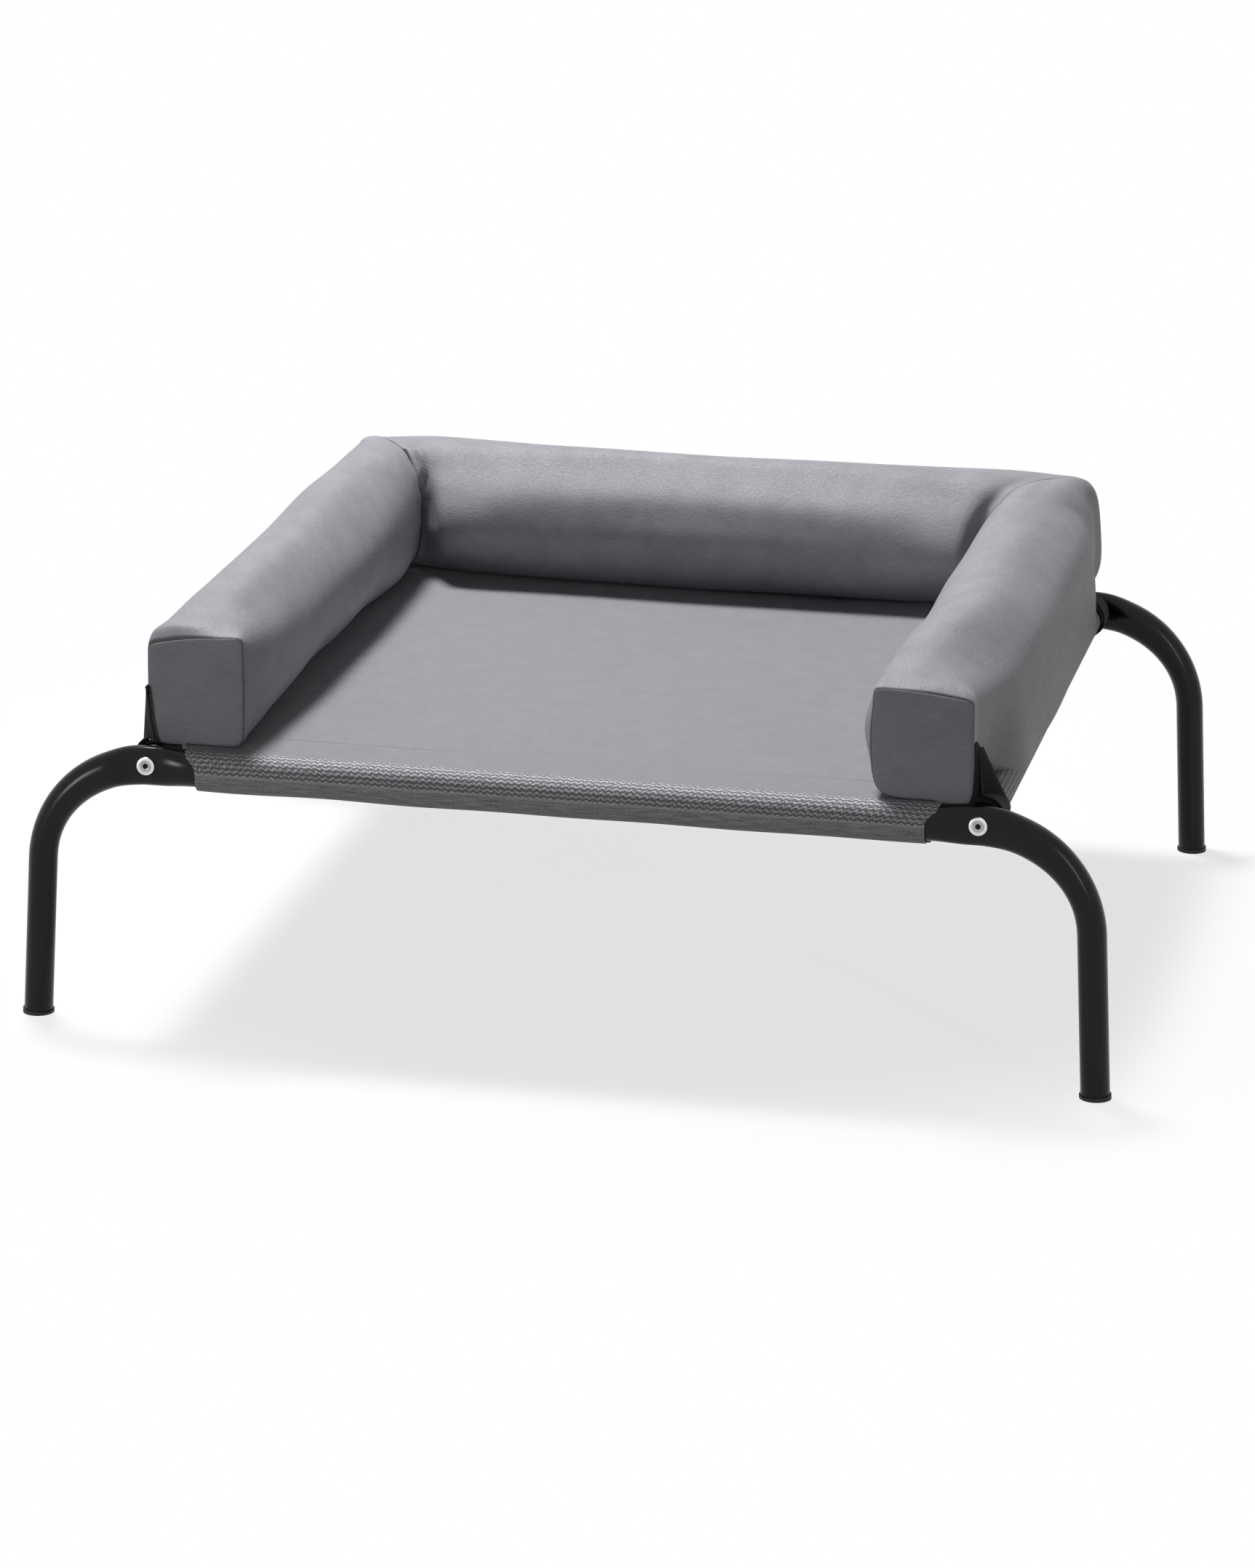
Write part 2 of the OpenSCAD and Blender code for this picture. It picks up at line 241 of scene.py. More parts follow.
def cloth_spots(grid, closed):
    """Cloth coordinates of a grid: mean distance along its rows and round its middle row."""
    if closed:
        along = lengths_along(grid.mean(1))
    else:
        along = np.mean([lengths_along(column) for column in grid.swapaxes(0, 1)], 0)
    middle = grid[len(grid) // 2]
    around = lengths_along(np.concatenate([middle, middle[:1]]) if closed else middle)
    return np.stack(np.meshgrid(along, around, indexing="ij"), 2)


def plate(grid, thickness):
    """Closed thin solid round an open grid of its middle surface."""
    shape = Shape()
    off = normals_of(grid, False) * thickness / 2
    cloth = cloth_spots(grid, False)
    top, low = [shape.skin(face, cloth, False) for face in (grid + off, grid - off)]
    index = np.arange(grid[..., 0].size).reshape(grid.shape[:2])
    edge = np.concatenate([index[0], index[1:, -1], index[-1, -2::-1], index[-2:0:-1, 0]])
    shape.band((top + edge).tolist(), (low + edge).tolist())
    return shape


def pipe(outer, inner):
    """Closed solid between two grids that are closed round their columns, with a rim at each end."""
    shape = Shape()
    rows, columns = outer.shape[:2]
    firsts = [shape.skin(grid, cloth_spots(grid, True), True) for grid in (outer, inner)]
    for row in (0, rows - 1):
        shape.band(*[ring_indices(first, row, columns) for first in firsts])
    return shape


def rod(grid):
    """Closed solid of a grid that is closed round its columns, with both ends capped."""
    shape = Shape()
    rows, columns = grid.shape[:2]
    first = shape.skin(grid, cloth_spots(grid, True), True)
    for row in (0, rows - 1):
        shape.cap(ring_indices(first, row, columns))
    return shape


def linked(name, data):
    """A new object in the scene."""
    made = bpy.data.objects.new(name, data)
    bpy.context.scene.collection.objects.link(made)
    return made


def piece(name, shape, material, body, node, sharp=SHARP_EDGE):
    """Makes a piece that rides on a body and stands for a node."""
    made = linked(name, shape.mesh(name, sharp))
    made.data.materials.append(material)
    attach(made, body)
    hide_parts(node)
    return made


def dress(node, material):
    """Gives a node of the frame a new material."""
    NODES[node].data.materials.clear()
    NODES[node].data.materials.append(material)


# Materials

NOISE_RANGE = (0.3, 0.7)
WHITE = (1, 1, 1)


def opaque(colour):
    """A colour with its alpha, unless it is a link."""
    return colour if isinstance(colour, bpy.types.NodeSocket) else (*colour, 1)


class Net:
    """The nodes of a material or of the world, built up from none."""

    def __init__(self, owner):
        owner.use_nodes = True
        self.tree = owner.node_tree
        self.tree.nodes.clear()

    def feed(self, socket, value):
        if isinstance(value, bpy.types.NodeSocket):
            self.tree.links.new(value, socket)
        else:
            socket.default_value = value

    def node(self, kind, sockets=(), **settings):
        """A node with its settings, and a value or a link for each named or numbered socket."""
        made = self.tree.nodes.new(kind)
        for key, value in settings.items():
            setattr(made, key, value)
        for key, value in dict(sockets).items():
            self.feed(made.inputs[key], value)
        return made

    def sums(self, operation, *values):
        return self.node("ShaderNodeMath", enumerate(values), operation=operation).outputs[0]

    def plus(self, first, second):
        return self.sums("ADD", first, second)

    def times(self, first, second):
        return self.sums("MULTIPLY", first, second)

    def span(self, value, low, high, new_low=0.0, new_high=1.0, kind="LINEAR"):
        """Value mapped from one range to another, held inside it."""
        sockets = enumerate((value, low, high, new_low, new_high))
        return self.node("ShaderNodeMapRange", sockets, interpolation_type=kind).outputs[0]

    def place(self):
        return self.node("ShaderNodeTexCoord").outputs["Object"]


class Finish(Net):
    """A material with one surface shader."""

    def __init__(self, name, **sockets):
        self.material = bpy.data.materials.new(name)
        super().__init__(self.material)
        named = {key.replace("_", " "): value for key, value in sockets.items()}
        self.surface = self.node("ShaderNodeBsdfPrincipled", named)
        self.node("ShaderNodeOutputMaterial", {"Surface": self.surface.outputs["BSDF"]})

    def cloth(self):
        """Cloth coordinates of the piece in millimetres: along and across."""
        spot = self.node("ShaderNodeUVMap", uv_map="cloth")
        split = self.node("ShaderNodeSeparateXYZ", {0: spot.outputs[0]})
        return [self.sums("DIVIDE", split.outputs[k], MM) for k in range(2)]

    def spot(self, along, across):
        return self.node("ShaderNodeCombineXYZ", {0: along, 1: across}).outputs[0]

    def wave(self, value, period):
        """Sine of a length in millimetres."""
        return self.sums("SINE", self.times(value, TURN / period))

    def noise(self, vector, scale, detail=2.0, roughness=0.5):
        sockets = {"Vector": vector, "Scale": scale, "Detail": detail, "Roughness": roughness}
        return self.node("ShaderNodeTexNoise", sockets).outputs[0]

    def spread(self, noise, low=0.0, high=1.0):
        """The usual range of a noise mapped to low and high."""
        return self.span(noise, *NOISE_RANGE, low, high)

    def blend(self, share, first, second, kind="MIX"):
        """A blend of two colours, each given as red, green and blue or as a link."""
        sockets = {"Factor": share, 6: opaque(first), 7: opaque(second)}
        return self.node("ShaderNodeMix", sockets, data_type="RGBA", blend_type=kind).outputs[2]

    def relief(self, height, depth, strength, below=None):
        """Normals of a relief with a depth in millimetres, over those of another one."""
        sockets = {"Height": height, "Distance": depth * MM, "Strength": strength}
        if below is not None:
            sockets["Normal"] = below
        return self.node("ShaderNodeBump", sockets).outputs[0]

    def done(self, colour, roughness, normal):
        for key, value in (("Base Color", colour), ("Roughness", roughness), ("Normal", normal)):
            self.feed(self.surface.inputs[key], value)
        return self.material


def tube_finish():
    """Satin black powder coat with a faint orange peel."""
    net = Finish("tube_black", Specular_IOR_Level=0.22)
    peel = net.noise(net.place(), scale=900.0, detail=3.0)
    cloud = net.noise(net.place(), scale=14.0, detail=3.0)
    colour = net.blend(cloud, (0.002, 0.002, 0.0026), (0.0038, 0.0037, 0.0046))
    roughness = net.spread(cloud, 0.18, 0.22)
    return net.done(colour, roughness, net.relief(peel, depth=0.012, strength=0.3))


# Distances along a bolt's rings, from its socket's floor, over which the painted shadow of the socket and
# the painted shade of the dish end
SOCKET_SHADE_END = (1.6, 1.9)
DISH_SHADE_END = (2.25, 2.65)


def bolt_finish():
    """Bright turned steel, with painted shade darkening the dish of its head and a painted shadow filling
    its socket.
    """
    net = Finish("bolt_bright", Metallic=1.0)
    grain = net.noise(net.place(), scale=1400.0, detail=4.0)
    along, _ = net.cloth()
    bright = net.blend(grain, (0.72, 0.72, 0.73), (0.9, 0.9, 0.9))
    # Painted shade: the recessed dish is darkened and the socket is painted near black as its shadow
    dish_shaded = net.blend(net.span(along, *DISH_SHADE_END), (0.36, 0.36, 0.35), bright)
    colour = net.blend(net.span(along, *SOCKET_SHADE_END), (0.012, 0.011, 0.01), dish_shaded)
    roughness = net.spread(grain, 0.2, 0.34)
    return net.done(colour, roughness, net.relief(grain, depth=0.03, strength=0.3))


def grained_finish(name, scale, detail, shades, roughness, depth, strength, **sockets):
    """A finish whose colour, roughness and relief follow one grain."""
    net = Finish(name, **sockets)
    grain = net.noise(net.place(), scale, detail)
    relief = net.relief(grain, depth, strength)
    return net.done(net.blend(grain, *shades), net.spread(grain, *roughness), relief)


def insert_finish():
    """Dull zinc plating."""
    shades = ((0.45, 0.45, 0.43), (0.62, 0.62, 0.6))
    return grained_finish("insert_zinc", scale=500.0, detail=4.0, shades=shades,
                          roughness=(0.38, 0.55), depth=0.05, strength=0.3, Metallic=1.0)


def foot_finish():
    """Moulded black plastic with a fine grain."""
    shades = ((0.011, 0.011, 0.012), (0.02, 0.02, 0.021))
    return grained_finish("foot_black", scale=1500.0, detail=3.0, shades=shades,
                          roughness=(0.5, 0.66), depth=0.06, strength=0.4, Specular_IOR_Level=0.35)


COVER_YARN = 0.8
COVER_DARK = (0.266, 0.255, 0.284)
COVER_LIGHT = (0.353, 0.338, 0.373)
COVER_TONES = (0.36, 0.64)
# Painted shadow in the groove of a cover's first seam: its colour, and the share of it at the seam
SEAM_SHADOW_COLOUR = (0.03, 0.028, 0.032)
SEAM_SHADOW_SHARE = 0.65


def cover_finish(name, shade, seam=0.0):
    """Close plain-woven polyester with a satin sheen and a slight mottle, its colours scaled by shade,
    and with a painted shadow line of the given width at its first seam, standing in for the shade in the
    seam's groove."""
    net = Finish(name, Specular_IOR_Level=0.48, Sheen_Weight=0.08, Sheen_Roughness=0.4,
                 Sheen_Tint=(0.9, 0.88, 0.95, 1))
    along, across = net.cloth()
    spot = net.spot(along, across)
    weave = net.times(net.wave(along, COVER_YARN), net.wave(across, COVER_YARN))
    pebble = net.noise(spot, scale=0.42, detail=3.0, roughness=0.6)
    mottle = net.noise(spot, scale=0.035, detail=3.0)
    slub = net.noise(net.spot(net.times(along, 0.08), across), scale=1.1)
    tone = net.plus(net.times(mottle, 0.45), net.times(slub, 0.55))
    dark, light = [[shade * part for part in colour] for colour in (COVER_DARK, COVER_LIGHT)]
    colour = net.blend(net.span(tone, *COVER_TONES), dark, light)
    # Painted shadow along the first seam, darkest at the seam
    if seam:
        colour = net.blend(net.span(along, 0.4 * seam, seam, SEAM_SHADOW_SHARE, 0.0), colour, SEAM_SHADOW_COLOUR)
    roughness = net.spread(pebble, 0.46, 0.64)
    fine = net.relief(weave, depth=0.05, strength=0.5)
    return net.done(colour, roughness, net.relief(pebble, depth=0.45, strength=0.8, below=fine))


def sling_finish():
    """Coated mesh cloth: a close grid of crossing yarns with darker holes."""
    net = Finish("sling_weave", Specular_IOR_Level=0.15, Sheen_Weight=0.03)
    along, across = net.cloth()
    spot = net.spot(along, across)
    knots = net.times(net.wave(along, 2.6), net.wave(across, 2.1))
    patch = net.noise(spot, scale=0.05, detail=3.0)
    speck = net.noise(spot, scale=0.9)
    tone = net.blend(net.span(knots, -0.7, 0.6), (0.278, 0.272, 0.292), (0.503, 0.491, 0.526))
    worn = net.blend(net.spread(patch), (0.93, 0.93, 0.93), WHITE)
    fleck = net.blend(net.span(speck, 0.35, 0.7), (0.78, 0.78, 0.78), WHITE)
    colour = net.blend(1.0, net.blend(1.0, tone, worn, "MULTIPLY"), fleck, "MULTIPLY")
    roughness = net.span(knots, -1.0, 1.0, 0.62, 0.5)
    return net.done(colour, roughness, net.relief(knots, depth=0.35, strength=0.6))


# Distance of the hem's line from a sleeve's crown, and half the width over which it changes
HEM_LINE = 22.5
HEM_SOFT = 0.4
HEM_RANGE = (HEM_LINE - HEM_SOFT, HEM_LINE + HEM_SOFT)
# Painted highlight on the hem's edge: its distance from the crown, and the distances from it over which
# it fades
HEM_HIGHLIGHT_LINE = HEM_LINE - 0.6
HEM_HIGHLIGHT_FADE = (0.3, 1.1)
ZIGZAG_L = 5.4
ZIGZAG_ROW = 3.5
ZIGZAG_SLOPE = 0.62


def sleeve_finish():
    """The same cloth turned on edge round a tube: broken zigzag rows above the hem line and streaks below
    it, with a light line just above the hem line that is a painted highlight on the hem's edge."""
    net = Finish("sleeve_weave", Specular_IOR_Level=0.4, Sheen_Weight=0.08)
    along, across = net.cloth()
    jitter = net.noise(net.spot(along, across), scale=0.2)
    zigzag = net.sums("PINGPONG", net.plus(along, net.times(jitter, 4.0)), ZIGZAG_L / 2)
    ridge = net.wave(net.plus(across, net.times(zigzag, ZIGZAG_SLOPE)), ZIGZAG_ROW)
    fleck = net.noise(net.spot(along, net.times(across, 1.6)), scale=0.55)
    streak = net.noise(net.spot(net.times(along, 0.06), across), scale=0.9, detail=3.0)
    strokes = net.times(net.span(ridge, -0.5, 0.9), net.span(fleck, 0.37, 0.56, 0.15, 1.0))
    lower = net.plus(net.spread(streak, 0.0, 0.45), net.span(fleck, 0.45, 0.7, 0.0, 0.25))
    below = net.span(across, *HEM_RANGE)
    above = net.sums("SUBTRACT", 1.0, below)
    height = net.plus(net.times(lower, below), net.times(strokes, above))
    from_hem_highlight = net.sums("ABSOLUTE", net.sums("SUBTRACT", across, HEM_HIGHLIGHT_LINE))
    tone = net.blend(net.span(height, 0.0, 1.0), (0.17, 0.165, 0.18), (0.86, 0.84, 0.88))
    # Painted highlight: a light line along the hem's edge
    colour = net.blend(net.span(from_hem_highlight, *HEM_HIGHLIGHT_FADE, 0.7, 0.0), tone, (0.66, 0.64, 0.68))
    roughness = net.span(height, 0.0, 1.0, 0.66, 0.5)
    return net.done(colour, roughness, net.relief(height, depth=0.4, strength=0.6))


def strap_finish():
    """Black hook-and-loop webbing: ribs with a fuzz."""
    net = Finish("strap_black", Specular_IOR_Level=0.25, Sheen_Weight=0.25, Sheen_Roughness=0.6,
                 Sheen_Tint=(0.3, 0.3, 0.32, 1))
    along, across = net.cloth()
    rib = net.times(net.wave(along, 1.6), net.wave(across, 1.3))
    fuzz = net.noise(net.spot(along, across), scale=1.4, detail=4.0, roughness=0.7)
    height = net.plus(net.times(rib, 0.4), fuzz)
    colour = net.blend(net.span(height, 0.0, 1.2), (0.006, 0.006, 0.007), (0.022, 0.022, 0.024))
    return net.done(colour, 0.88, net.relief(height, depth=0.3, strength=0.8))


def fibre_finish():
    """White fibre filling."""
    net = Finish("core_fibre", Sheen_Weight=0.3)
    tuft = net.noise(net.place(), scale=160.0, detail=5.0, roughness=0.65)
    colour = net.blend(net.spread(tuft), (0.72, 0.72, 0.7), (0.86, 0.86, 0.84))
    return net.done(colour, 0.95, net.relief(tuft, depth=2.0, strength=0.8))


TUBE = tube_finish()
BOLT = bolt_finish()
INSERT = insert_finish()
FOOT = foot_finish()
COVER = cover_finish("cover_cloth", 1.0, seam=2.0)
# The end panels are the cover's cloth painted 6% lighter: painted light on their front faces
PANEL_PAINTED_LIGHTER = cover_finish("panel_cloth", 1.06)
SLING = sling_finish()
SLEEVE = sleeve_finish()
STRAP = strap_finish()
FIBRE = fibre_finish()


# Bows

SECTION_N = 40
# Stretch of a bow round its bolt with closer rings, and the steps of each of its four stretches
CLOSE_RANGE = (-90.0, 45.0)
BOW_STEPS = (9, 67, 29, 13)
# Pressing of the tube at the bolt, and the oval stretch round it
PRESS_RANGE = (9.0, 34.0)
PRESS_RISE = 1.3
OVAL_START = (-75.0, -48.0)
OVAL_END = (20.0, 115.0)
OVAL_RISE = 3.0
OVAL_SINK = 1.9
OVAL_SQUARE = 2.25


def bow_grid(row, wall):
    """Rings along a bow from the left foot to the right foot, inset by wall."""
    bend_l = BEND_R * (math.pi / 2 - SPLAY)
    stops = (-RAIL_X, *CLOSE_RANGE, bend_l, bend_l + LEG_L)
    stretches = [
        np.linspace(start, stop, steps, endpoint=False)
        for start, stop, steps in zip(stops, stops[1:], BOW_STEPS)
    ]
    half = np.append(np.concatenate(stretches), stops[-1])
    angle = np.clip(math.pi / 2 - half / BEND_R, SPLAY, math.pi / 2)
    past = np.maximum(half - bend_l, 0)
    x = RAIL_X + np.minimum(half, 0) + BEND_R * np.cos(angle) + past * math.sin(SPLAY)
    z = BOW_H - BEND_R + BEND_R * np.sin(angle) - past * math.cos(SPLAY)
    press = fade(np.abs(half), *PRESS_RANGE)
    oval = smooth(half, *OVAL_START) * fade(half, *OVAL_END)
    deep = TUBE_R - (TUBE_R - FLAT_R) * press - wall
    tall = TUBE_R + OVAL_RISE * oval + PRESS_RISE * press - wall
    sink = OVAL_SINK * oval
    turn = np.arange(SECTION_N) * TURN / SECTION_N
    power = 2 / mix(2, OVAL_SQUARE, np.maximum(press, oval))[:, None]
    up = signed_power(np.sin(turn), power) * tall[:, None] - sink[:, None]
    out = signed_power(np.cos(turn), power) * deep[:, None]
    right_x = x[:, None] + up * np.cos(angle)[:, None]
    right_z = z[:, None] + up * np.sin(angle)[:, None]
    right = np.stack([right_x, row * (BOW_Y + out), right_z], 2)
    left = right[::-1] * np.array([-1, 1, 1])
    return np.concatenate([left[:-1], right])


for row_name, row in ROWS.items():
    bow = pipe(bow_grid(row, 0), bow_grid(row, TUBE_WALL))
    piece(f"{row_name}_bow_tube", bow, TUBE, "frame", f"{row_name}_bow")


# Bolts, inserts, feet and rails

HEAD_EDGE = 0.9
HEAD_DISH = 0.7
HEAD_GAP = 0.05
RIM_CUT = 0.3
# Wall of the dish: inset from the head's rim at its foot and at its top
DISH_WALL = (3.1, 2.6)
SOFT_EDGE = 0.08
SOCKET_ROUND = 0.3
SOCKET_TIP = 0.9
HEX_N = 6
HEX_PARTS = 6
BOLT_SHARP = 30.0
FOOT_BEVEL = 0.5


def hexagon(turn, across_flats):
    """Radius of a hexagon at an angle."""
    part = TURN / HEX_N
    return across_flats / 2 / np.cos((turn + part / 2) % part - part / 2)


def bolt_shape(side, row):
    """Flat-headed bolt with a rounded rim, a dished face and a hexagon socket."""
    count = HEX_N * HEX_PARTS
    turn = np.arange(count) * TURN / count
    socket = hexagon(turn, SOCKET_AF)
    socket_floor = BOLT_HEAD_H - SOCKET_DEPTH
    dish = BOLT_HEAD_H - HEAD_DISH
    rings = [
        (socket * 0.02, socket_floor - SOCKET_TIP),
        (socket * 0.96, socket_floor - SOCKET_ROUND),
        (socket, dish),
        (socket * 1.08 + 0.1, dish + SOFT_EDGE),
        (BOLT_HEAD_R - DISH_WALL[0], dish + 1.5 * SOFT_EDGE),
        (BOLT_HEAD_R - DISH_WALL[1], BOLT_HEAD_H - SOFT_EDGE),
        (BOLT_HEAD_R - HEAD_EDGE, BOLT_HEAD_H),
        (BOLT_HEAD_R - RIM_CUT, BOLT_HEAD_H - RIM_CUT),
        (BOLT_HEAD_R, BOLT_HEAD_H - HEAD_EDGE),
        (BOLT_HEAD_R, HEAD_GAP),
        (BOLT_R, HEAD_GAP),
        (BOLT_R, -BOLT_L),
    ]
    grid = []
    for radius, out in rings:
        x = side * RAIL_X + radius * np.cos(turn)
        y = np.full(count, row * (BOW_Y + FLAT_R + out))
        z = BOW_H + radius * np.sin(turn)
        grid.append(np.stack([x, y, z], 1))
    return rod(np.array(grid))


for name, (side, row) in COT_CORNERS.items():
    piece(f"{name}_socket_bolt", bolt_shape(side, row), BOLT, "frame", f"{name}_bolt",
          BOLT_SHARP)
    dress(f"{name}_insert", INSERT)
    dress(f"{name}_foot", FOOT)
    soften = NODES[f"{name}_foot"].modifiers.new("soften", "BEVEL")
    soften.width = FOOT_BEVEL * MM
    soften.segments = 2

for side_name in SIDES:
    dress(f"{side_name}_side_rail", TUBE)


# Sling and sleeves

# Flat size of the sling in metres
SLING_ROWS = 32
SLING_COLUMNS = 65
SAG = 3.5
EDGE_GAP = 0.1
CORNER_X = 301.0
CUT_STEP = 1.5
CUT_ROWS = 9
SLEEVE_N = 76
SLEEVE_ROWS = 121
SLEEVE_FLARE = 10.0
BOW_SLEEVE_SEED = 11
RAIL_SLEEVE_SEED = 21
# Flange that is sewn under the sling: turn at which it leaves the tube, places, share of the flare
FLANGE_TURN = -228.0
FLANGE_OUT = 14.0
FLANGE_IN = 26.0
FLANGE_DROP = 1.3
FLANGE_FLARE = 0.3
INNER_SIDE = -0.5
HEM_STEP = 0.5
HEM_START = (4.0, 10.0)
SLACK = 0.5
SLACK_GRAIN = 120.0
SLACK_BELOW = (-2.0, 12.0)


def sling_grid():
    """Middle surface of the cloth between the four tube crowns, with its corners cut away."""
    y_edge = BOW_Y - EDGE_GAP
    straight = np.linspace(0, RAIL_SLEEVE_Y, SLING_ROWS)
    corner = np.linspace(RAIL_SLEEVE_Y + CUT_STEP, y_edge, CUT_ROWS)
    half = np.concatenate([straight, corner])
    y = np.concatenate([-half[:0:-1], half])
    past = (np.abs(y) - RAIL_SLEEVE_Y) / (y_edge - RAIL_SLEEVE_Y)
    cut = mix(CORNER_X, BOW_SLEEVE_X + SLEEVE_FLARE, past)
    wide = np.where(past > 0, cut, RAIL_X - EDGE_GAP)
    x = np.linspace(-1, 1, SLING_COLUMNS)[None, :] * wide[:, None]
    y = np.broadcast_to(y[:, None], x.shape)
    sag = SAG * (1 - (x / RAIL_X) ** 2) * (1 - (y / BOW_Y) ** 2)
    return np.stack([x, y, SLING_TOP - CLOTH_T / 2 - sag], 2)


def arc(radius, start, stop, count):
    """Points of a circle between two angles in degrees."""
    turn = np.radians(np.linspace(start, stop, count))
    return radius * np.stack([np.cos(turn), np.sin(turn)], 1)


def sleeve_line(drop):
    """Path of a sleeve's cloth round its tube, as outward and up: from the crown over the outside,
    below and up the inside to the flange that is sewn under the sling."""
    r = SLEEVE_R - CLOTH_T / 2
    upper = arc(r, 90, 0, count=19)
    lower = arc(r, 0, -180, count=29) - np.array([0, drop])
    inner = arc(r, -180, FLANGE_TURN, count=8)
    flange = [[-FLANGE_OUT, r - FLANGE_DROP], [-FLANGE_IN, r - FLANGE_DROP]]
    return respaced(np.concatenate([upper, lower, inner, flange]), SLEEVE_N)


def sleeve_grid(half_l, flare, drop, seed):
    """Middle surface of a sleeve lying along its first coordinate, as three grids: along, out, up."""
    line = sleeve_line(drop)
    out, up = line.T
    reach = lengths_along(line)
    longer = flare * np.where(out < INNER_SIDE, FLANGE_FLARE, smooth(up, 0, SLEEVE_R))
    along = np.linspace(-1, 1, SLEEVE_ROWS)[:, None] * (half_l + longer)
    slack = SLACK * unevenness(seed, along / SLACK_GRAIN) * smooth(-up, *SLACK_BELOW)
    step = HEM_STEP * fade(reach, *HEM_RANGE) * smooth(reach, *HEM_START)
    return np.broadcast_arrays(along, out + step * np.cos(np.arctan2(up, out)), up + slack)


def sleeve_piece(name, *places):
    return piece(f"{name}_sleeve_cloth", plate(np.stack(places, 2), CLOTH_T), SLEEVE, "frame",
                 f"{name}_sleeve")


sling = piece("sling_cloth", plate(sling_grid(), CLOTH_T), SLING, "frame", "sling_panel")
for row_name, row in ROWS.items():
    along, out, up = sleeve_grid(BOW_SLEEVE_X, SLEEVE_FLARE, BOW_SLEEVE_DROP, BOW_SLEEVE_SEED + row)
    sleeve_piece(row_name, along, row * (BOW_Y + out), BOW_H + up)
for side_name, side in SIDES.items():
    along, out, up = sleeve_grid(RAIL_SLEEVE_Y, 0.0, RAIL_SLEEVE_DROP, RAIL_SLEEVE_SEED + side)
    sleeve_piece(side_name, side * (RAIL_X + out), along, BOW_H + up)


# Sections of the bolster

RING_N = 72
EIGHTHS = 8
EIGHTH_POINTS = 91
ARM_ROWS = 84
BACK_ROWS = 84
ARM_L = BACK_Y - ARM_FRONT_Y
BACK_L = 2 * ARM_X
# Squareness of the quarters: outer top, inner top, inner low, outer low
ARM_CORNERS = {-1: np.array([3.5, 2.0, 4.2, 4.0]), 1: np.array([1.9, 2.9, 4.2, 4.0])}
BACK_CORNERS = np.array([4.0, 1.65, 4.2, 3.5])
SEAM_CORNERS = {-1: np.array([3.0, 2.3, 3.4, 3.5]), 1: np.array([3.7, 2.3, 3.4, 3.5])}
END_CORNERS = {-1: np.array([22.0, 22.0, 12.0, 6.0]), 1: np.array([22.0, 22.0, 5.0, 11.0])}
# Lengths over which an arm swells behind its end panel
END_SWELL_L = 170.0
END_WIDTH_L = 75.0
END_ROUND_L = 130.0
# How far the corner seams draw in the crown and the inner faces
CROWN_DRAW = 4.5
INNER_DRAW = {-1: 8.0, 1: 3.0}
CORNER_DRAW_L = 60.0
SEAM_ROUND_L = 75.0
# How far the rings start inside the stuffed form
START_IN = 3.5
START_IN_L = 26.0
# Set of each arm's front end: sideways, forwards, and of its inner and outer top corner
FRONT_SHIFT = {-1: 1.0, 1: -10.0}
FRONT_SHIFT_L = 230.0
FRONT_REACH = {-1: 0.0, 1: 8.0}
TOP_IN = {-1: 3.0, 1: 0.5}
TOP_OUT = {-1: -8.0, 1: -6.0}
TOP_POWER = 1.5
END_ARCH = 1.6
# How far each arm's front end sags where the sling is cut away
FRONT_SAG = {-1: 1.5, 1: 3.5}
SAG_OUT = (10.0, 28.0)
SAG_H = 30.0
SAG_L = 45.0
# Squareness of an arm's outer low quarter where it slumps, from its front end and from its seam
SLUMP_SQUARE = 9.0
SLUMP_FRONT = (65.0, 180.0)
SLUMP_SEAM = (15.0, 75.0)
# Puff of each arm's inner side behind its end panel; its place is a distance and a length
SIDE_PUFF = {-1: 2.0, 1: 7.0}
SIDE_PUFF_AT = (26.0, 22.0)
SIDE_PUFF_H = 26.0
INNER_OUT = (-30.0, 10.0)
# Puff of each arm's outer shoulder: lengths over which it grows and dies away behind the end panel
SHOULDER_PUFF = {-1: 11.0, 1: 5.0}
SHOULDER_GROW_L = 5.0
SHOULDER_FADE_L = 28.0
SHOULDER_SHARE = (0.4, 0.8)
SHOULDER_OUT = (-25.0, 25.0)
# Full stretches of the left arm's outer shoulder: distance, length and height
SHOULDER_WAVES = {-1: ((60, 60, 4.5), (370, 110, 3.9)), 1: ()}
# Forward belly of the back piece, and its rise between the corners
BACK_BELLY = 31.0
BELLY_L = 26.0
BELLY_Z = 46.0
BELLY_TOP = 106.0
BACK_RISE = 2.0
BACK_RISE_L = 120.0


def swelling(distance, length):
    return 1 - np.maximum(1 - distance / length, 0) ** 2


def rounder(square, other, share):
    """Squareness between two sections, whose inverse changes evenly."""
    return 1 / mix(1 / square, 1 / other, share)


def section(wide, high, corners, inset, count=RING_N):
    """Ring of the bolster's section as outward and up. Each eighth of its turn has points at equal
    distances, so that a square section has one on each corner. Corners are the squareness of its
    outer top, inner top, inner low and outer low quarter."""
    parts = []
    for eighth in range(EIGHTHS):
        turn = np.linspace(eighth, eighth + 1, EIGHTH_POINTS) * TURN / EIGHTHS
        power = 2 / corners[eighth // 2]
        out = (BOLSTER_W - wide) / 2 + (wide / 2 - inset) * signed_power(np.cos(turn), power)
        up = high / 2 * (1 + signed_power(np.sin(turn), power))
        parts.append(respaced(np.stack([out, up], 1), count // EIGHTHS + 1)[:-1])
    return np.concatenate(parts)


def start_inset(distance, length):
    return START_IN * smooth(np.minimum(distance, length - distance), 0, START_IN_L)


def corner_pull(distance):
    """Share of a corner seam's draw at a distance from it."""
    return 1 - swelling(distance, CORNER_DRAW_L)


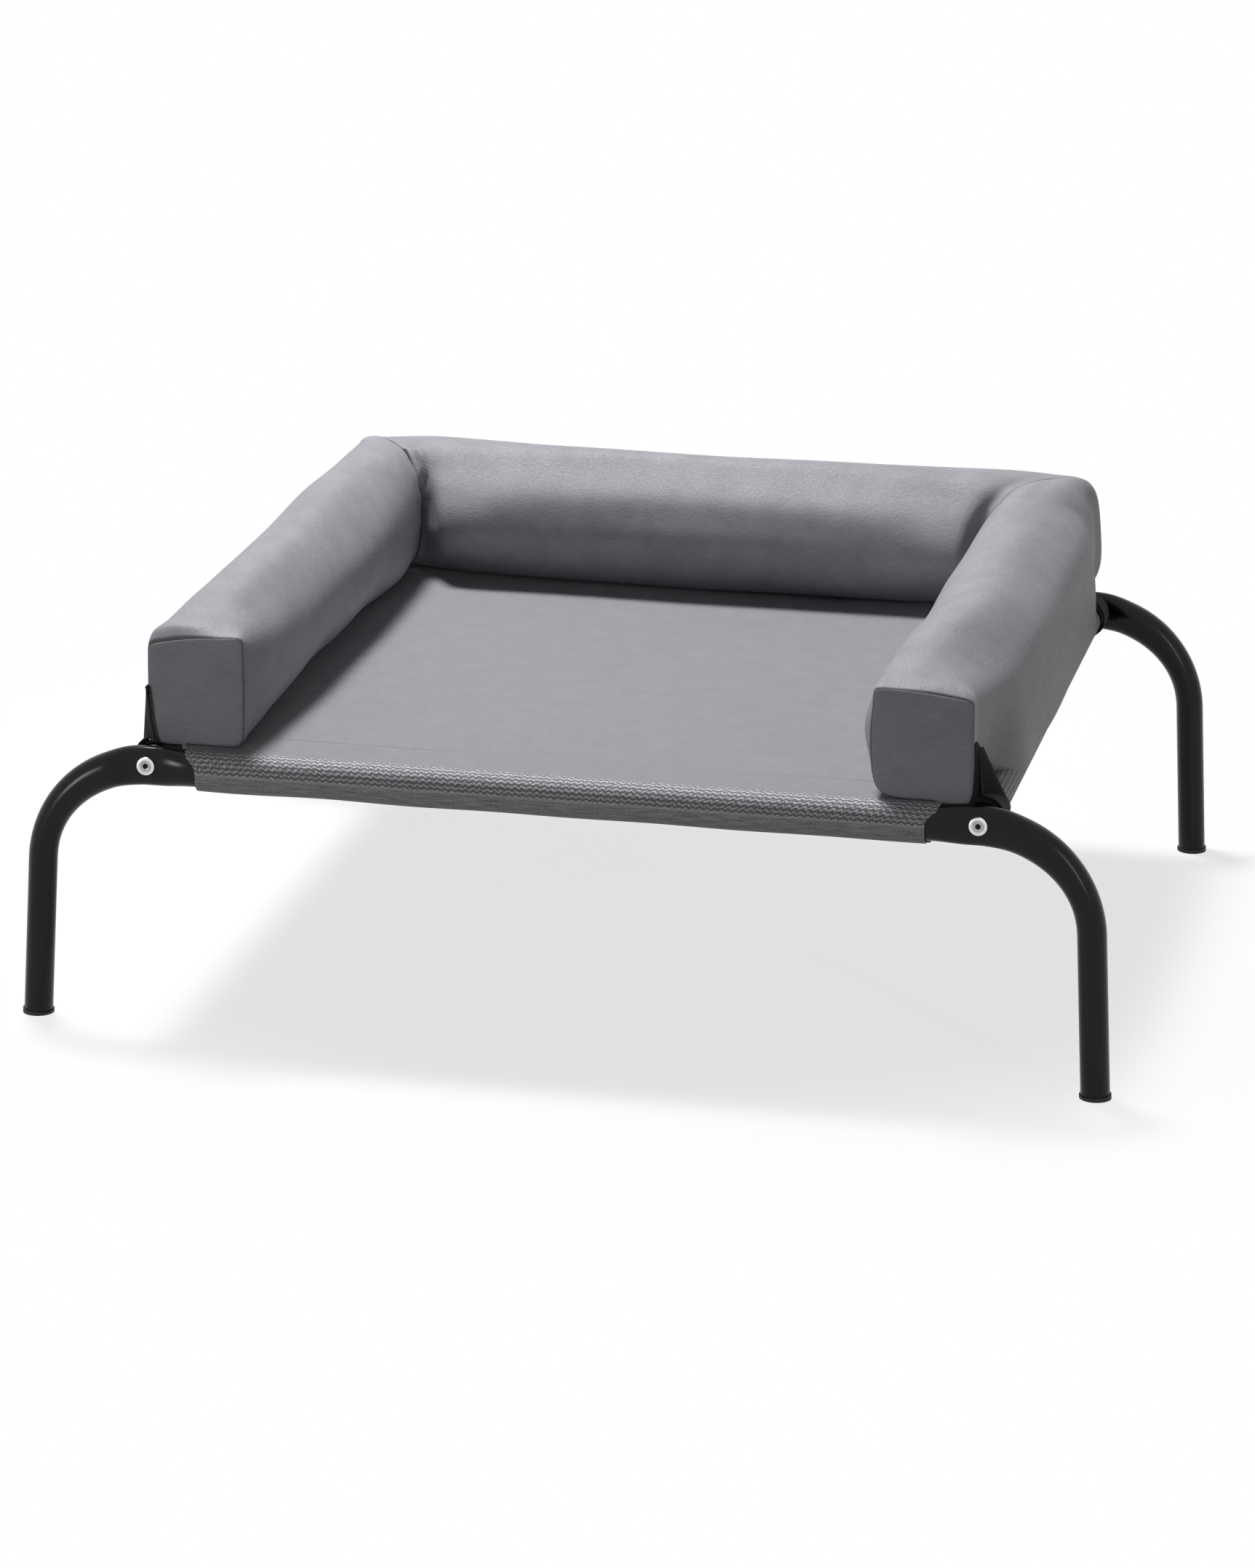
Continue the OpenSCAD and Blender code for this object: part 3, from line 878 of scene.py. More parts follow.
def arm_section(side, d):
    """Section of an arm at distance d from its end panel, and its height."""
    pull = corner_pull(ARM_L - d)
    corners = mix(ARM_CORNERS[side], SEAM_CORNERS[side], fade(ARM_L - d, 0, SEAM_ROUND_L))
    slump = smooth(d, *SLUMP_FRONT) * smooth(ARM_L - d, *SLUMP_SEAM)
    corners[3] = mix(corners[3], SLUMP_SQUARE, slump)
    corners = rounder(END_CORNERS[side], corners, swelling(d, END_ROUND_L))
    wide = mix(END_W, BOLSTER_W, swelling(d, END_WIDTH_L)) - INNER_DRAW[side] * pull
    high = mix(END_H, BOLSTER_H, swelling(d, END_SWELL_L)) - CROWN_DRAW * pull
    return section(wide, high, corners, start_inset(d, ARM_L)), high


def arm_ring(side, share):
    """Ring of an arm at a share of its length from its end panel to the corner seam."""
    d = share * ARM_L
    ring, high = arm_section(side, d)
    out, up = ring.T
    across = np.clip((out - BOLSTER_W / 2 + END_W) / END_W, 0, 1)
    set_top = mix(TOP_IN[side], TOP_OUT[side], across) + END_ARCH * np.sin(math.pi * across)
    up = up + set_top * (1 - swelling(d, END_SWELL_L)) * np.clip(up / high, 0, 1) ** TOP_POWER
    up = up - FRONT_SAG[side] * smooth(out, *SAG_OUT) * fade(up, 0, SAG_H) * fade(d, 0, SAG_L)
    lift = SHOULDER_PUFF[side] * (1 - math.exp(-d / SHOULDER_GROW_L)) * math.exp(-d / SHOULDER_FADE_L)
    lift += sum(tall * bump_at(d, middle, length) for middle, length, tall in SHOULDER_WAVES[side])
    up = up + lift * smooth(up / high, *SHOULDER_SHARE) * smooth(out, *SHOULDER_OUT)
    y = mix(ARM_FRONT_Y - FRONT_REACH[side], BACK_Y + out, share)
    puff = SIDE_PUFF[side] * bump_at(up, BELLY_Z, SIDE_PUFF_H) * bump_at(d, *SIDE_PUFF_AT)
    out = out - puff * fade(out, *INNER_OUT)
    x = side * (ARM_X + out + FRONT_SHIFT[side] * fade(d, 0, FRONT_SHIFT_L))
    return np.stack([x, y, BOLSTER_BASE + up], 1)


def back_ring(share):
    """Ring of the back piece at a share of its length from the left corner seam to the right one."""
    d = share * BACK_L
    end = min(d, BACK_L - d)
    side = -1 if d < BACK_L / 2 else 1
    pull = corner_pull(end)
    corners = mix(BACK_CORNERS, SEAM_CORNERS[side], fade(end, 0, SEAM_ROUND_L))
    wide = BOLSTER_W - INNER_DRAW[side] * pull
    high = BOLSTER_H - CROWN_DRAW * pull + BACK_RISE * smooth(end, 0, BACK_RISE_L)
    out, up = section(wide, high, corners, start_inset(d, BACK_L)).T
    bulge = smooth(up, 0, BELLY_Z) * fade(up, BELLY_Z, BELLY_TOP) * fade(out, *INNER_OUT)
    y = BACK_Y + out - BACK_BELLY * smooth(end, 0, BELLY_L) * bulge
    return np.stack([mix(-ARM_X - out, ARM_X + out, share), y, BOLSTER_BASE + up], 1)


def arm_rings(side):
    return np.array([arm_ring(side, share) for share in np.linspace(0, 1, ARM_ROWS)])


# Stuffing of the bolster

SEAT_R = 12.9
SWELL_CAP = 6.0
PRESSURE = 4.0
CLOTH_FRAMES = 20
CLOTH_QUALITY = 6
# Shares at which the bag's flat ends have rings
END_RINGS = (0.8, 0.55, 0.3)
EVEN_ROWS = 40
EVEN_COLUMNS = 4
# How far each arm's outer side slumps over the rail, less behind: along the arm, outward and up
SLUMP = {-1: 3.0, 1: 9.0}
SLUMP_Y = (-262.0, -165.0)
SLUMP_LESS = 0.5
SLUMP_LESS_Y = (225.0, 265.0)
SLUMP_OUT = (-5.0, 38.0)
SLUMP_H = (15.0, 95.0)
# Path of a cover that hangs over a side rail, as outward and up, from below the arm to its side
HANG_LINE = np.array(
    [(0, 0), (38, 0), (44.5, -1.7), (48.8, -5.8), (50.9, -11.8)]
    + [(52.2, -14), (53.2, -11), (53.4, 18), (50, 54)]
)
HANG_SHARE = {-1: 0.45, 1: 1.0}
HANG_END_Y = (222.0, 258.0)
HANG_EASE = (0.55, 1.0)


def seated(points):
    """Points kept above the sling and off the sleeves where they hang over a tube."""
    x, y, z = np.moveaxis(points, 2, 0)
    past = np.clip(np.maximum(np.abs(x) - RAIL_X, y - BOW_Y), 0, SEAT_R)
    drop = SEAT_R - np.sqrt(SEAT_R**2 - past**2)
    sag = by_side(FRONT_SAG, x) * (y < -RAIL_SLEEVE_Y)
    return np.stack([x, y, np.maximum(z, BOLSTER_BASE - np.maximum(drop, sag))], 2)


def slumped(rings):
    """Rings of the bolster with the arms' outer sides hung over the side rails."""
    x, y, z = np.moveaxis(rings, 2, 0)
    out = np.abs(x) - ARM_X
    up = z - BOLSTER_BASE
    start = smooth(y, *SLUMP_Y)
    lean = by_side(SLUMP, x) * start * mix(1, SLUMP_LESS, smooth(y, *SLUMP_LESS_Y))
    out = out + lean * smooth(out, *SLUMP_OUT) * fade(up, *SLUMP_H)
    quarter = RING_N // 4
    line = respaced(HANG_LINE, quarter + 1)[:-1]
    low = slice(RING_N - quarter, RING_N)
    hang = by_side(HANG_SHARE, x) * start * fade(y, *HANG_END_Y)
    hang = hang[:, low] * fade(np.arange(quarter) / quarter, *HANG_EASE)
    out[:, low] = mix(out[:, low], line[:, 0], hang)
    up[:, low] = mix(up[:, low], line[:, 1], hang)
    return seated(np.stack([np.sign(x) * (ARM_X + out), y, BOLSTER_BASE + up], 2))


def bag_shape(rings):
    """The closed bag of rings, with a flat end at its first and its last ring."""
    shape = Shape()
    rows = len(rings)
    first = shape.skin(rings, np.zeros((rows, RING_N + 1, 2)), True)
    for row in (0, rows - 1):
        edge = ring_indices(first, row, RING_N)
        for share in END_RINGS:
            start = shape.add(mix(rings[row].mean(0), rings[row], share))
            ring = ring_indices(start, 0, RING_N)
            shape.band(edge, ring)
            edge = ring
        shape.cap(edge)
    return shape


def inflated(rings, seams):
    """The rings of the bag, swollen by its stuffing between its sewn seams."""
    bag = linked("bag", bag_shape(rings).mesh("bag"))
    group = bag.vertex_groups.new(name="seams")
    group.add([index for row in seams for index in ring_indices(0, row, RING_N)], 1.0, "REPLACE")
    cloth = bag.modifiers.new("cloth", "CLOTH")
    cloth.settings.quality = CLOTH_QUALITY
    cloth.settings.vertex_group_mass = "seams"
    cloth.settings.use_pressure = True
    cloth.settings.uniform_pressure_force = PRESSURE
    cloth.settings.effector_weights.gravity = 0
    cloth.point_cache.frame_end = CLOTH_FRAMES
    scene = bpy.context.scene
    for step in range(1, CLOTH_FRAMES + 1):
        scene.frame_set(step)
    swollen = bag.evaluated_get(bpy.context.evaluated_depsgraph_get())
    points = np.zeros(len(swollen.data.vertices) * 3)
    swollen.data.vertices.foreach_get("co", points)
    scene.frame_set(1)
    mesh = bag.data
    bpy.data.objects.remove(bag)
    bpy.data.meshes.remove(mesh)
    return points[: rings.size].reshape(rings.shape) / MM


def evened(field, seams):
    """A field of the rings, evened out between the seams and round each ring."""
    for _ in range(EVEN_ROWS):
        field[1:-1] = (field[:-2] + 2 * field[1:-1] + field[2:]) / 4
        field[seams] = 0
    for _ in range(EVEN_COLUMNS):
        field = (np.roll(field, 1, 1) + 2 * field + np.roll(field, -1, 1)) / 4
    return field


def stuffed(rings, seams):
    """Rings after stuffing, moved by no more than the cap and flat where they rest on the sling."""
    moved = inflated(rings, seams)
    change = moved - rings
    size = np.linalg.norm(change, axis=2, keepdims=True)
    change = change * np.minimum(1, SWELL_CAP / np.maximum(size, 1e-9))
    return seated(rings + evened(change, seams))


left_start = arm_rings(-1)
right_start = arm_rings(1)
back_start = [back_ring(share) for share in np.linspace(0, 1, BACK_ROWS)[1:-1]]
left_seam = ARM_ROWS - 1
right_seam = left_seam + BACK_ROWS - 1
bag_rings = np.concatenate([left_start, back_start, right_start[::-1]])
bag_rings = stuffed(bag_rings, [0, left_seam, right_seam, len(bag_rings) - 1])


def parted(rings):
    """Rings of the bag as its three pieces, each from its first seam to its last."""
    return {
        "left": rings[: left_seam + 1],
        "rear": rings[left_seam : right_seam + 1],
        "right": rings[right_seam:][::-1],
    }


# Covers and filling of the bolster

FILLED = parted(bag_rings)
GRIDS = parted(slumped(bag_rings))
LENGTHS = {"left": ARM_L, "rear": BACK_L, "right": ARM_L}
FILLING_IN = 8.0
FILLING_ENDS = 3
FILLING_STEP = 2
FINE_ROWS = (0.0, 0.8, 1.7, 2.8, 4.2, 6.0, 8.0, 10.0, 12.0, 14.0, 16.5, 20.0, 25.0, 31.0)
COVER_N = 2 * RING_N
COVER_STEP = 7.5
SEAM_ROLL = 2.2
SEAM_GAP = 0.1
# Thickness of a cover below the sling, and the heights round the sling over which it thins
LIP_T = 0.4
LIP_RANGE = (-4.0, 4.0)
# A tuck at the left corner seam: ring angles of its top and its lower end, width and height
EAR_TOP = 106.0
EAR_LOW = 160.0
EAR_WIDE = 17.0
EAR_H = 5.0
EAR_ROOT = 4.0
EAR_SOFT = 1.5
# Folds: distances from the seams, and ring angles from the outer side, over which they set in
FOLD_SEEDS = {"left": 31, "rear": 41, "right": 51}
FREE_RANGE = (0.0, 30.0)
SEWN_RANGE = (0.0, 8.0)
OUTER_RANGE = (0.0, 30.0)
PANEL_RANGE = (2.0, 14.0)
FOLD_H = 0.6
FOLD_L = 150.0
FOLD_ANGLE = 110.0
# Lengths over which the puckers at the corner seams and the creases at an end panel fade
BACK_PUCKER_L = 16.0
ARM_PUCKER_L = 20.0
CREASE_L = 22.0
# Gathers at an end panel: height, length over which they fade, count round the ring, waviness
GATHER_H = 0.2
GATHER_L = 12.0
GATHERS = 30
GATHER_WAVE = 3.0
GATHER_ANGLE = 60.0
# Dents and swellings: height, distance from a seam, its width, ring angle and its width
LEFT_SWELL = (3.0, 8.0, 26.0, 145.0, 65.0)
RIGHT_SWELL = (2.0, 10.0, 24.0, 145.0, 65.0)
TUCK_DENT = (-2.5, 18.0, 9.0, 195.0, 28.0)
WEDGE_DENT = (-6.0, 12.0, 9.0, 155.0, 40.0)
# Hollow of the back beside its left seam: depth, length, ring angle and its width
HOLLOW_DEPTH = 3.5
HOLLOW_L = 30.0
HOLLOW_ANGLE = (145.0, 65.0)
# Slanting wrinkles of the right arm: height, slant, ring angle of its middle, distance and width
WRINKLES = ((0.7, -0.5, 60.0, 52.0, 4.0), (0.49, 0.4, 40.0, 78.0, 5.0))
# Ring angle of the wrinkles and its width
WRINKLE_ANGLE = (48.0, 26.0)


def cover_rows(length):
    """Distances of a cover's rows from its first seam, close together at both seams."""
    fine = np.array(FINE_ROWS)
    inside = np.linspace(fine[-1], length - fine[-1], int((length - 2 * fine[-1]) / COVER_STEP) + 1)
    return np.concatenate([fine, inside[1:-1], (length - fine)[::-1]])


def rolled(distance, radius):
    """Depth by which a cover rolls in at a distance from its seam."""
    short = np.maximum(radius - distance, 0)
    return radius - np.sqrt(np.maximum(radius**2 - short**2, 0))


def ring_angles():
    """Angle of each ring point in degrees: 0 outside, 90 on the crown, 180 inside, 270 below."""
    ring = section(BOLSTER_W, BOLSTER_H, BACK_CORNERS, 0, COVER_N)
    return np.degrees(np.arctan2(ring[:, 1] - BOLSTER_H / 2, ring[:, 0])) % 360


def ear(distance, angle):
    """A tuck of spare cloth beside a corner seam: wide at its top, narrowing to the seam below."""
    edge = EAR_WIDE * fade(angle, EAR_TOP + 10, EAR_LOW)
    height = EAR_H * smooth(angle, EAR_TOP, EAR_TOP + 6) * smooth(distance, 0, EAR_ROOT)
    return height * fade(distance, edge - EAR_SOFT, edge + EAR_SOFT)


def puckers(seed, distance, angle, length, angle_grain=20.0, grain=60.0):
    """Small creases that fade over a length from a seam."""
    return np.exp(-distance / length) * unevenness(seed, angle / angle_grain, distance / grain)


def dent(form, distance, angle):
    height, place, width, centre, angle_width = form
    return height * bump_at(distance, place, width) * bump_at(angle, centre, angle_width)


def back_folds(seed, start, end, angle, sewn, outer):
    """Folds of the back piece: puckers at both seams, a tuck at the left one, dents beside them."""
    pucker = puckers(seed + 1, start, angle, BACK_PUCKER_L) + puckers(seed + 2, end, angle, BACK_PUCKER_L)
    hollow = HOLLOW_DEPTH * np.exp(-start / HOLLOW_L) * bump_at(angle, *HOLLOW_ANGLE)
    height = (FOLD_H * pucker * outer - hollow + dent(WEDGE_DENT, end, angle)) * sewn
    return height + dent(TUCK_DENT, start, angle) + ear(start, angle)


def arm_folds(seed, start, end, angle, sewn, outer):
    """Folds that both arms have: gathers and creases at the end panel, puckers at the corner seam."""
    wander = GATHER_WAVE * unevenness(seed + 3, angle / GATHER_ANGLE)
    gathers = GATHER_H * np.exp(-start / GATHER_L) * np.sin(np.radians(angle) * GATHERS + wander)
    creases = FOLD_H * puckers(seed + 1, start, angle, CREASE_L, angle_grain=24.0, grain=40.0)
    seam = FOLD_H * puckers(seed + 2, end, angle, ARM_PUCKER_L)
    return ((gathers + creases) * smooth(start, *PANEL_RANGE) + seam * sewn) * outer


def folds(name, d, length):
    """Height of a cover's folds and puckers at distance d from its first seam, by ring angle."""
    start = d[:, None]
    end = length - start
    angle = ring_angles()[None, :]
    near = np.minimum(start, end)
    sewn = smooth(near, *SEWN_RANGE)
    outer = smooth(np.minimum(angle, 360 - angle), *OUTER_RANGE)
    seed = FOLD_SEEDS[name]
    uneven = unevenness(seed, start / FOLD_L, angle / FOLD_ANGLE)
    height = FOLD_H * smooth(near, *FREE_RANGE) * uneven * outer
    if name == "rear":
        return height + back_folds(seed, start, end, angle, sewn, outer)
    height = height + arm_folds(seed, start, end, angle, sewn, outer)
    if name == "left":
        return height + dent(LEFT_SWELL, end, angle) * sewn
    for tall, slant, middle, place, width in WRINKLES:
        line = bump_at(end + slant * (angle - middle), place, width)
        height = height + tall * line * bump_at(angle, *WRINKLE_ANGLE)
    return height + dent(RIGHT_SWELL, end, angle) * sewn


def closer(grid):
    """The rings with one more point between each two neighbours, on a smooth curve."""
    after = np.roll(grid, -1, 1)
    between = (9 * (grid + after) - np.roll(grid, 1, 1) - np.roll(grid, -2, 1)) / 16
    return np.stack([grid, between], 2).reshape(len(grid), COVER_N, 3)


def outward_of(grid):
    """Unit normals of a tube of rings, pointing out of it."""
    normal = normals_of(grid, True)
    middle = grid.mean(1, keepdims=True)
    return normal * np.sign(((grid - middle) * normal).sum((1, 2)))[:, None, None]


def cover_grid(name):
    """Outer skin of a cover with its rolled seams, folds and puckers, and the way out of it."""
    grid, length = GRIDS[name], LENGTHS[name]
    d = cover_rows(length)
    fine = closer(rows_between(grid, np.linspace(0, 1, len(grid)), d / length))
    outward = outward_of(fine)
    roll = rolled(d, SEAM_ROLL) + rolled(length - d, SEAM_ROLL)
    lift = folds(name, d, length) - roll[:, None]
    fine = fine + outward * lift[..., None]
    along = np.gradient(fine.mean(1), axis=0)
    along = along / np.linalg.norm(along, axis=1, keepdims=True)
    fine[0] += along[0] * SEAM_GAP
    fine[-1] -= along[-1] * SEAM_GAP
    return seated(fine), outward


for name in GRIDS:
    skin_grid, outward = cover_grid(name)
    lip = smooth(BOLSTER_BASE - skin_grid[..., 2:], *LIP_RANGE)
    shell = pipe(skin_grid, skin_grid - outward * mix(COVER_T, LIP_T, lip))
    cover = piece(f"{name}_bolster_tube", shell, COVER, "bolster", f"{name}_bolster_cover")
    filling = FILLED[name] - outward_of(FILLED[name]) * FILLING_IN
    filling = filling[FILLING_ENDS:-FILLING_ENDS:FILLING_STEP, ::FILLING_STEP]
    core = piece(f"{name}_bolster_filling", rod(filling), FIBRE, "bolster",
                 f"{name}_bolster_core")


# End panels

PANEL_T = 1.2
PANEL_DOME = 1.6
DOME_POWER = 0.7
PANEL_REACH = 40.0
PANEL_WAVE = 0.35
PANEL_WAVE_X = 45.0
PANEL_WAVE_Z = 60.0
PANEL_SEEDS = {"left": 61, "right": 71}
PANEL_SHARES = (1.0, 0.985, 0.965, 0.93, 0.88, 0.8, 0.68, 0.54, 0.4, 0.26, 0.12)
PANEL_EDGE = np.array([0.98, 1, 0.98])


def panel_grid(name):
    """Front skin of an end panel, from the rolled seam to its middle."""
    edge = GRIDS[name][0]
    middle = edge.mean(0)
    rings = []
    for share in PANEL_SHARES:
        ring = mix(middle, edge, share)
        dome = PANEL_DOME * (1 - share**2) ** DOME_POWER
        x, _, z = ring.T
        uneven = unevenness(PANEL_SEEDS[name], x / PANEL_WAVE_X, z / PANEL_WAVE_Z)
        wave = PANEL_WAVE * uneven * (1 - share)
        ring[:, 1] -= dome + wave - rolled((1 - share) * PANEL_REACH, SEAM_ROLL) + SEAM_GAP
        rings.append(ring)
    rings[0] = mix(middle, rings[0], PANEL_EDGE)
    return np.array(rings)


def panel_shape(name):
    """Closed thin solid of an end panel, with its cloth's threads level and upright."""
    front = panel_grid(name)
    spots = front[..., ::2]
    cloth = np.concatenate([spots, spots[:, :1]], 1)
    shape = Shape()
    firsts = []
    for grid in (front, front + np.array([0, PANEL_T, 0])):
        first = shape.skin(grid, cloth, True)
        shape.cap(ring_indices(first, len(front) - 1, RING_N), spots[-1])
        firsts.append(first)
    shape.band(*[ring_indices(first, 0, RING_N) for first in firsts])
    return shape


for side_name in SIDES:
    made = piece(f"{side_name}_end_cloth", panel_shape(side_name), PANEL_PAINTED_LIGHTER, "bolster",
                 f"{side_name}_end_panel")


# Straps and tabs

WEBBING_N = 15
LOOP_ROWS = 61
FLAP_ROWS = 15
TAB_ROWS = 21
LOOP_START = math.radians(15)
# Slack of a loop below the rail; its place is an angle and a width in degrees
LOOP_SAG = 7.5
LOOP_SAG_AT = (272.0, 32.0)
# Degrees over which a strap rises from the rail onto its tab
LAP_RANGE = (285.0, 345.0)
LAP_OVER = 1.5
# How far up its tab a strap's flap goes, and the angle at which it leaves the rail at most
FLAP_SHARE = 0.9
FLAP_TURN = math.radians(95)
# How far a flap stands back from its tab's near edge, to swing clear of the bow
FLAP_BACK = {-1: 3.8, 1: 0.0}
TAB_R = 14.2
TAB_TOP_Z = {-1: 57.0, 1: 22.5}
TAB_TOP_W = {-1: 7.0, 1: 18.0}
TAB_NEAR_Y = {-1: 300.0, 1: 293.5}
TAB_FAR_Y = 262.0
TAB_END = math.radians(-8)
TAB_TUCK = {-1: math.radians(29), 1: 0.0}
# Distance of the bolster's outer face from the rail's axis by side and row, and of a tab from it
FACE_X = {(-1, -1): 3.2, (1, -1): -7.0, (-1, 1): -4.9, (1, 1): -3.2}
TAB_FOOT_OFF = 1.3
TAB_TOP_OFF = 0.9
# A tab's slight waves: height, lengths, and the shares of its rise over which they start and end
TAB_WAVE = 0.2
TAB_WAVE_Y = 20.0
TAB_WAVE_Z = 25.0
TAB_LOOSE = (0.05, 0.3)
TAB_SEWN = (0.8, 1.0)
TAB_SEED = 81


def tab_foot(side, row, share):
    """Angle round the side rail, and distance from the cot's middle, of a tab's foot."""
    start = math.acos((FACE_X[side, row] + TAB_FOOT_OFF) / TAB_R) + TAB_TUCK[row]
    return mix(start, TAB_END, share), mix(TAB_NEAR_Y[row], TAB_FAR_Y, share)


def tab_top(side, row, share, over):
    """Points of a tab's top edge at a height over it, as outward from the rail, distance and up."""
    level = np.ones_like(share)
    out = FACE_X[side, row] + TAB_TOP_OFF + over
    return np.stack([level * out, TAB_NEAR_Y[row] - TAB_TOP_W[row] * share, level * TAB_TOP_Z[row]], 1)


def off_rail(grid, radius):
    """Points given as outward from a side rail, distance and up, kept outside a radius round it."""
    reach = np.hypot(grid[..., 0], grid[..., 2])
    grid[..., ::2] *= np.maximum(1, radius / reach)[..., None]
    return grid


def at_rail(grid, side, row):
    """Points given as outward from a side rail, distance from the middle and up, put in place."""
    return np.stack([side * (RAIL_X + grid[..., 0]), row * grid[..., 1], BOW_H + grid[..., 2]], 2)


def strap_grid(side, row):
    """Middle surface of a strap: once round the side rail, slack below it, then up as a tapered
    flap that lies on the tab."""
    y = np.linspace(STRAP_NEAR_Y, STRAP_FAR_Y, WEBBING_N)
    share = (TAB_NEAR_Y[row] - y) / (TAB_NEAR_Y[row] - TAB_FAR_Y)
    leave = np.minimum(tab_foot(side, row, share)[0], FLAP_TURN)
    turn = mix(LOOP_START, TURN + leave, np.linspace(0, 1, LOOP_ROWS)[:, None])
    lap = smooth(np.degrees(turn), *LAP_RANGE)
    radius = mix(STRAP_IN_R + STRAP_T / 2, TAB_R + LAP_OVER, lap)
    up = radius * np.sin(turn) - LOOP_SAG * bump_at(np.degrees(turn), *LOOP_SAG_AT)
    loop = np.stack(np.broadcast_arrays(radius * np.cos(turn), y, up), 2)
    rise = np.linspace(0, FLAP_SHARE, FLAP_ROWS + 1)[1:, None, None]
    top = tab_top(side, row, share, LAP_OVER)
    top[:, 1] -= FLAP_BACK[row]
    flap = off_rail(mix(loop[-1], top, rise), TAB_R + LAP_OVER)
    return at_rail(np.concatenate([loop, flap]), side, row)


def tab_grid(side, row):
    """Middle surface of a tab: a triangle sewn at its narrow top to the bolster's outer edge, that
    spreads out over the side rail."""
    share = np.linspace(0, 1, WEBBING_N)
    turn, y = tab_foot(side, row, share)
    foot = np.stack([TAB_R * np.cos(turn), y, TAB_R * np.sin(turn)], 1)
    rise = np.linspace(0, 1, TAB_ROWS)[:, None]
    grid = off_rail(mix(foot, tab_top(side, row, share, 0), rise[..., None]), TAB_R)
    loose = smooth(rise, *TAB_LOOSE) * fade(rise, *TAB_SEWN)
    wave = unevenness(TAB_SEED + 2 * side + row, grid[..., 1] / TAB_WAVE_Y, grid[..., 2] / TAB_WAVE_Z)
    grid[..., 0] += TAB_WAVE * loose * wave
    return at_rail(grid, side, row)


for name, (side, row) in COT_CORNERS.items():
    piece(f"{name}_strap_webbing", plate(strap_grid(side, row), STRAP_T), STRAP, f"{name}_strap_body",
          f"{name}_strap")
    piece(f"{name}_tab_webbing", plate(tab_grid(side, row), STRAP_T), STRAP, "bolster",
          f"{name}_tab")


# Floor, light and camera, in metres

FLOOR_SIZE = 14.0
FLOOR_MIDDLE = (0, 0.1, 0)
# The floor takes the cot's shadow near it and is plain white further away
FLOOR_RANGE = (0.42, 0.85)
FLOOR_GREY = 0.27
FLOOR_LIFT = 0.74
WORLD_LIGHT = 0.015
# Lamps: place, aim, size and power in watts
LAMPS = {
    "overhead": ((-0.8, 0.75, 3.1), (0, 0, 0.2), (0.8, 0.6), 108),
    "left_fill": ((-2.0, -2.6, 0.45), (0, 0, 0.25), (0.45, 0.6), 14),
    "right_fill": ((2.4, -2.5, 1.15), (0.35, -0.2, 0.2), (0.1, 1.2), 9),
}
# The photo's height and the camera's focal length in pixels, and its sensor in millimetres
PHOTO_H = 2156.0
FOCAL_PX = 7604.0
SENSOR = 36.0
CAMERA_AT = (0.8622, -4.1216, 1.4117)
CAMERA_YAW = math.radians(11.99)
CAMERA_PITCH = math.radians(17.06)
CAMERA_ROLL = math.radians(0.55)
CAMERA_END = 100.0


def seen_ray(net):
    """1 for a ray that the camera sends, also by way of gloss or glass."""
    path = net.node("ShaderNodeLightPath").outputs
    direct = net.sums("MAXIMUM", path["Is Camera Ray"], path["Is Glossy Ray"])
    return net.sums("MAXIMUM", direct, path["Is Transmission Ray"])


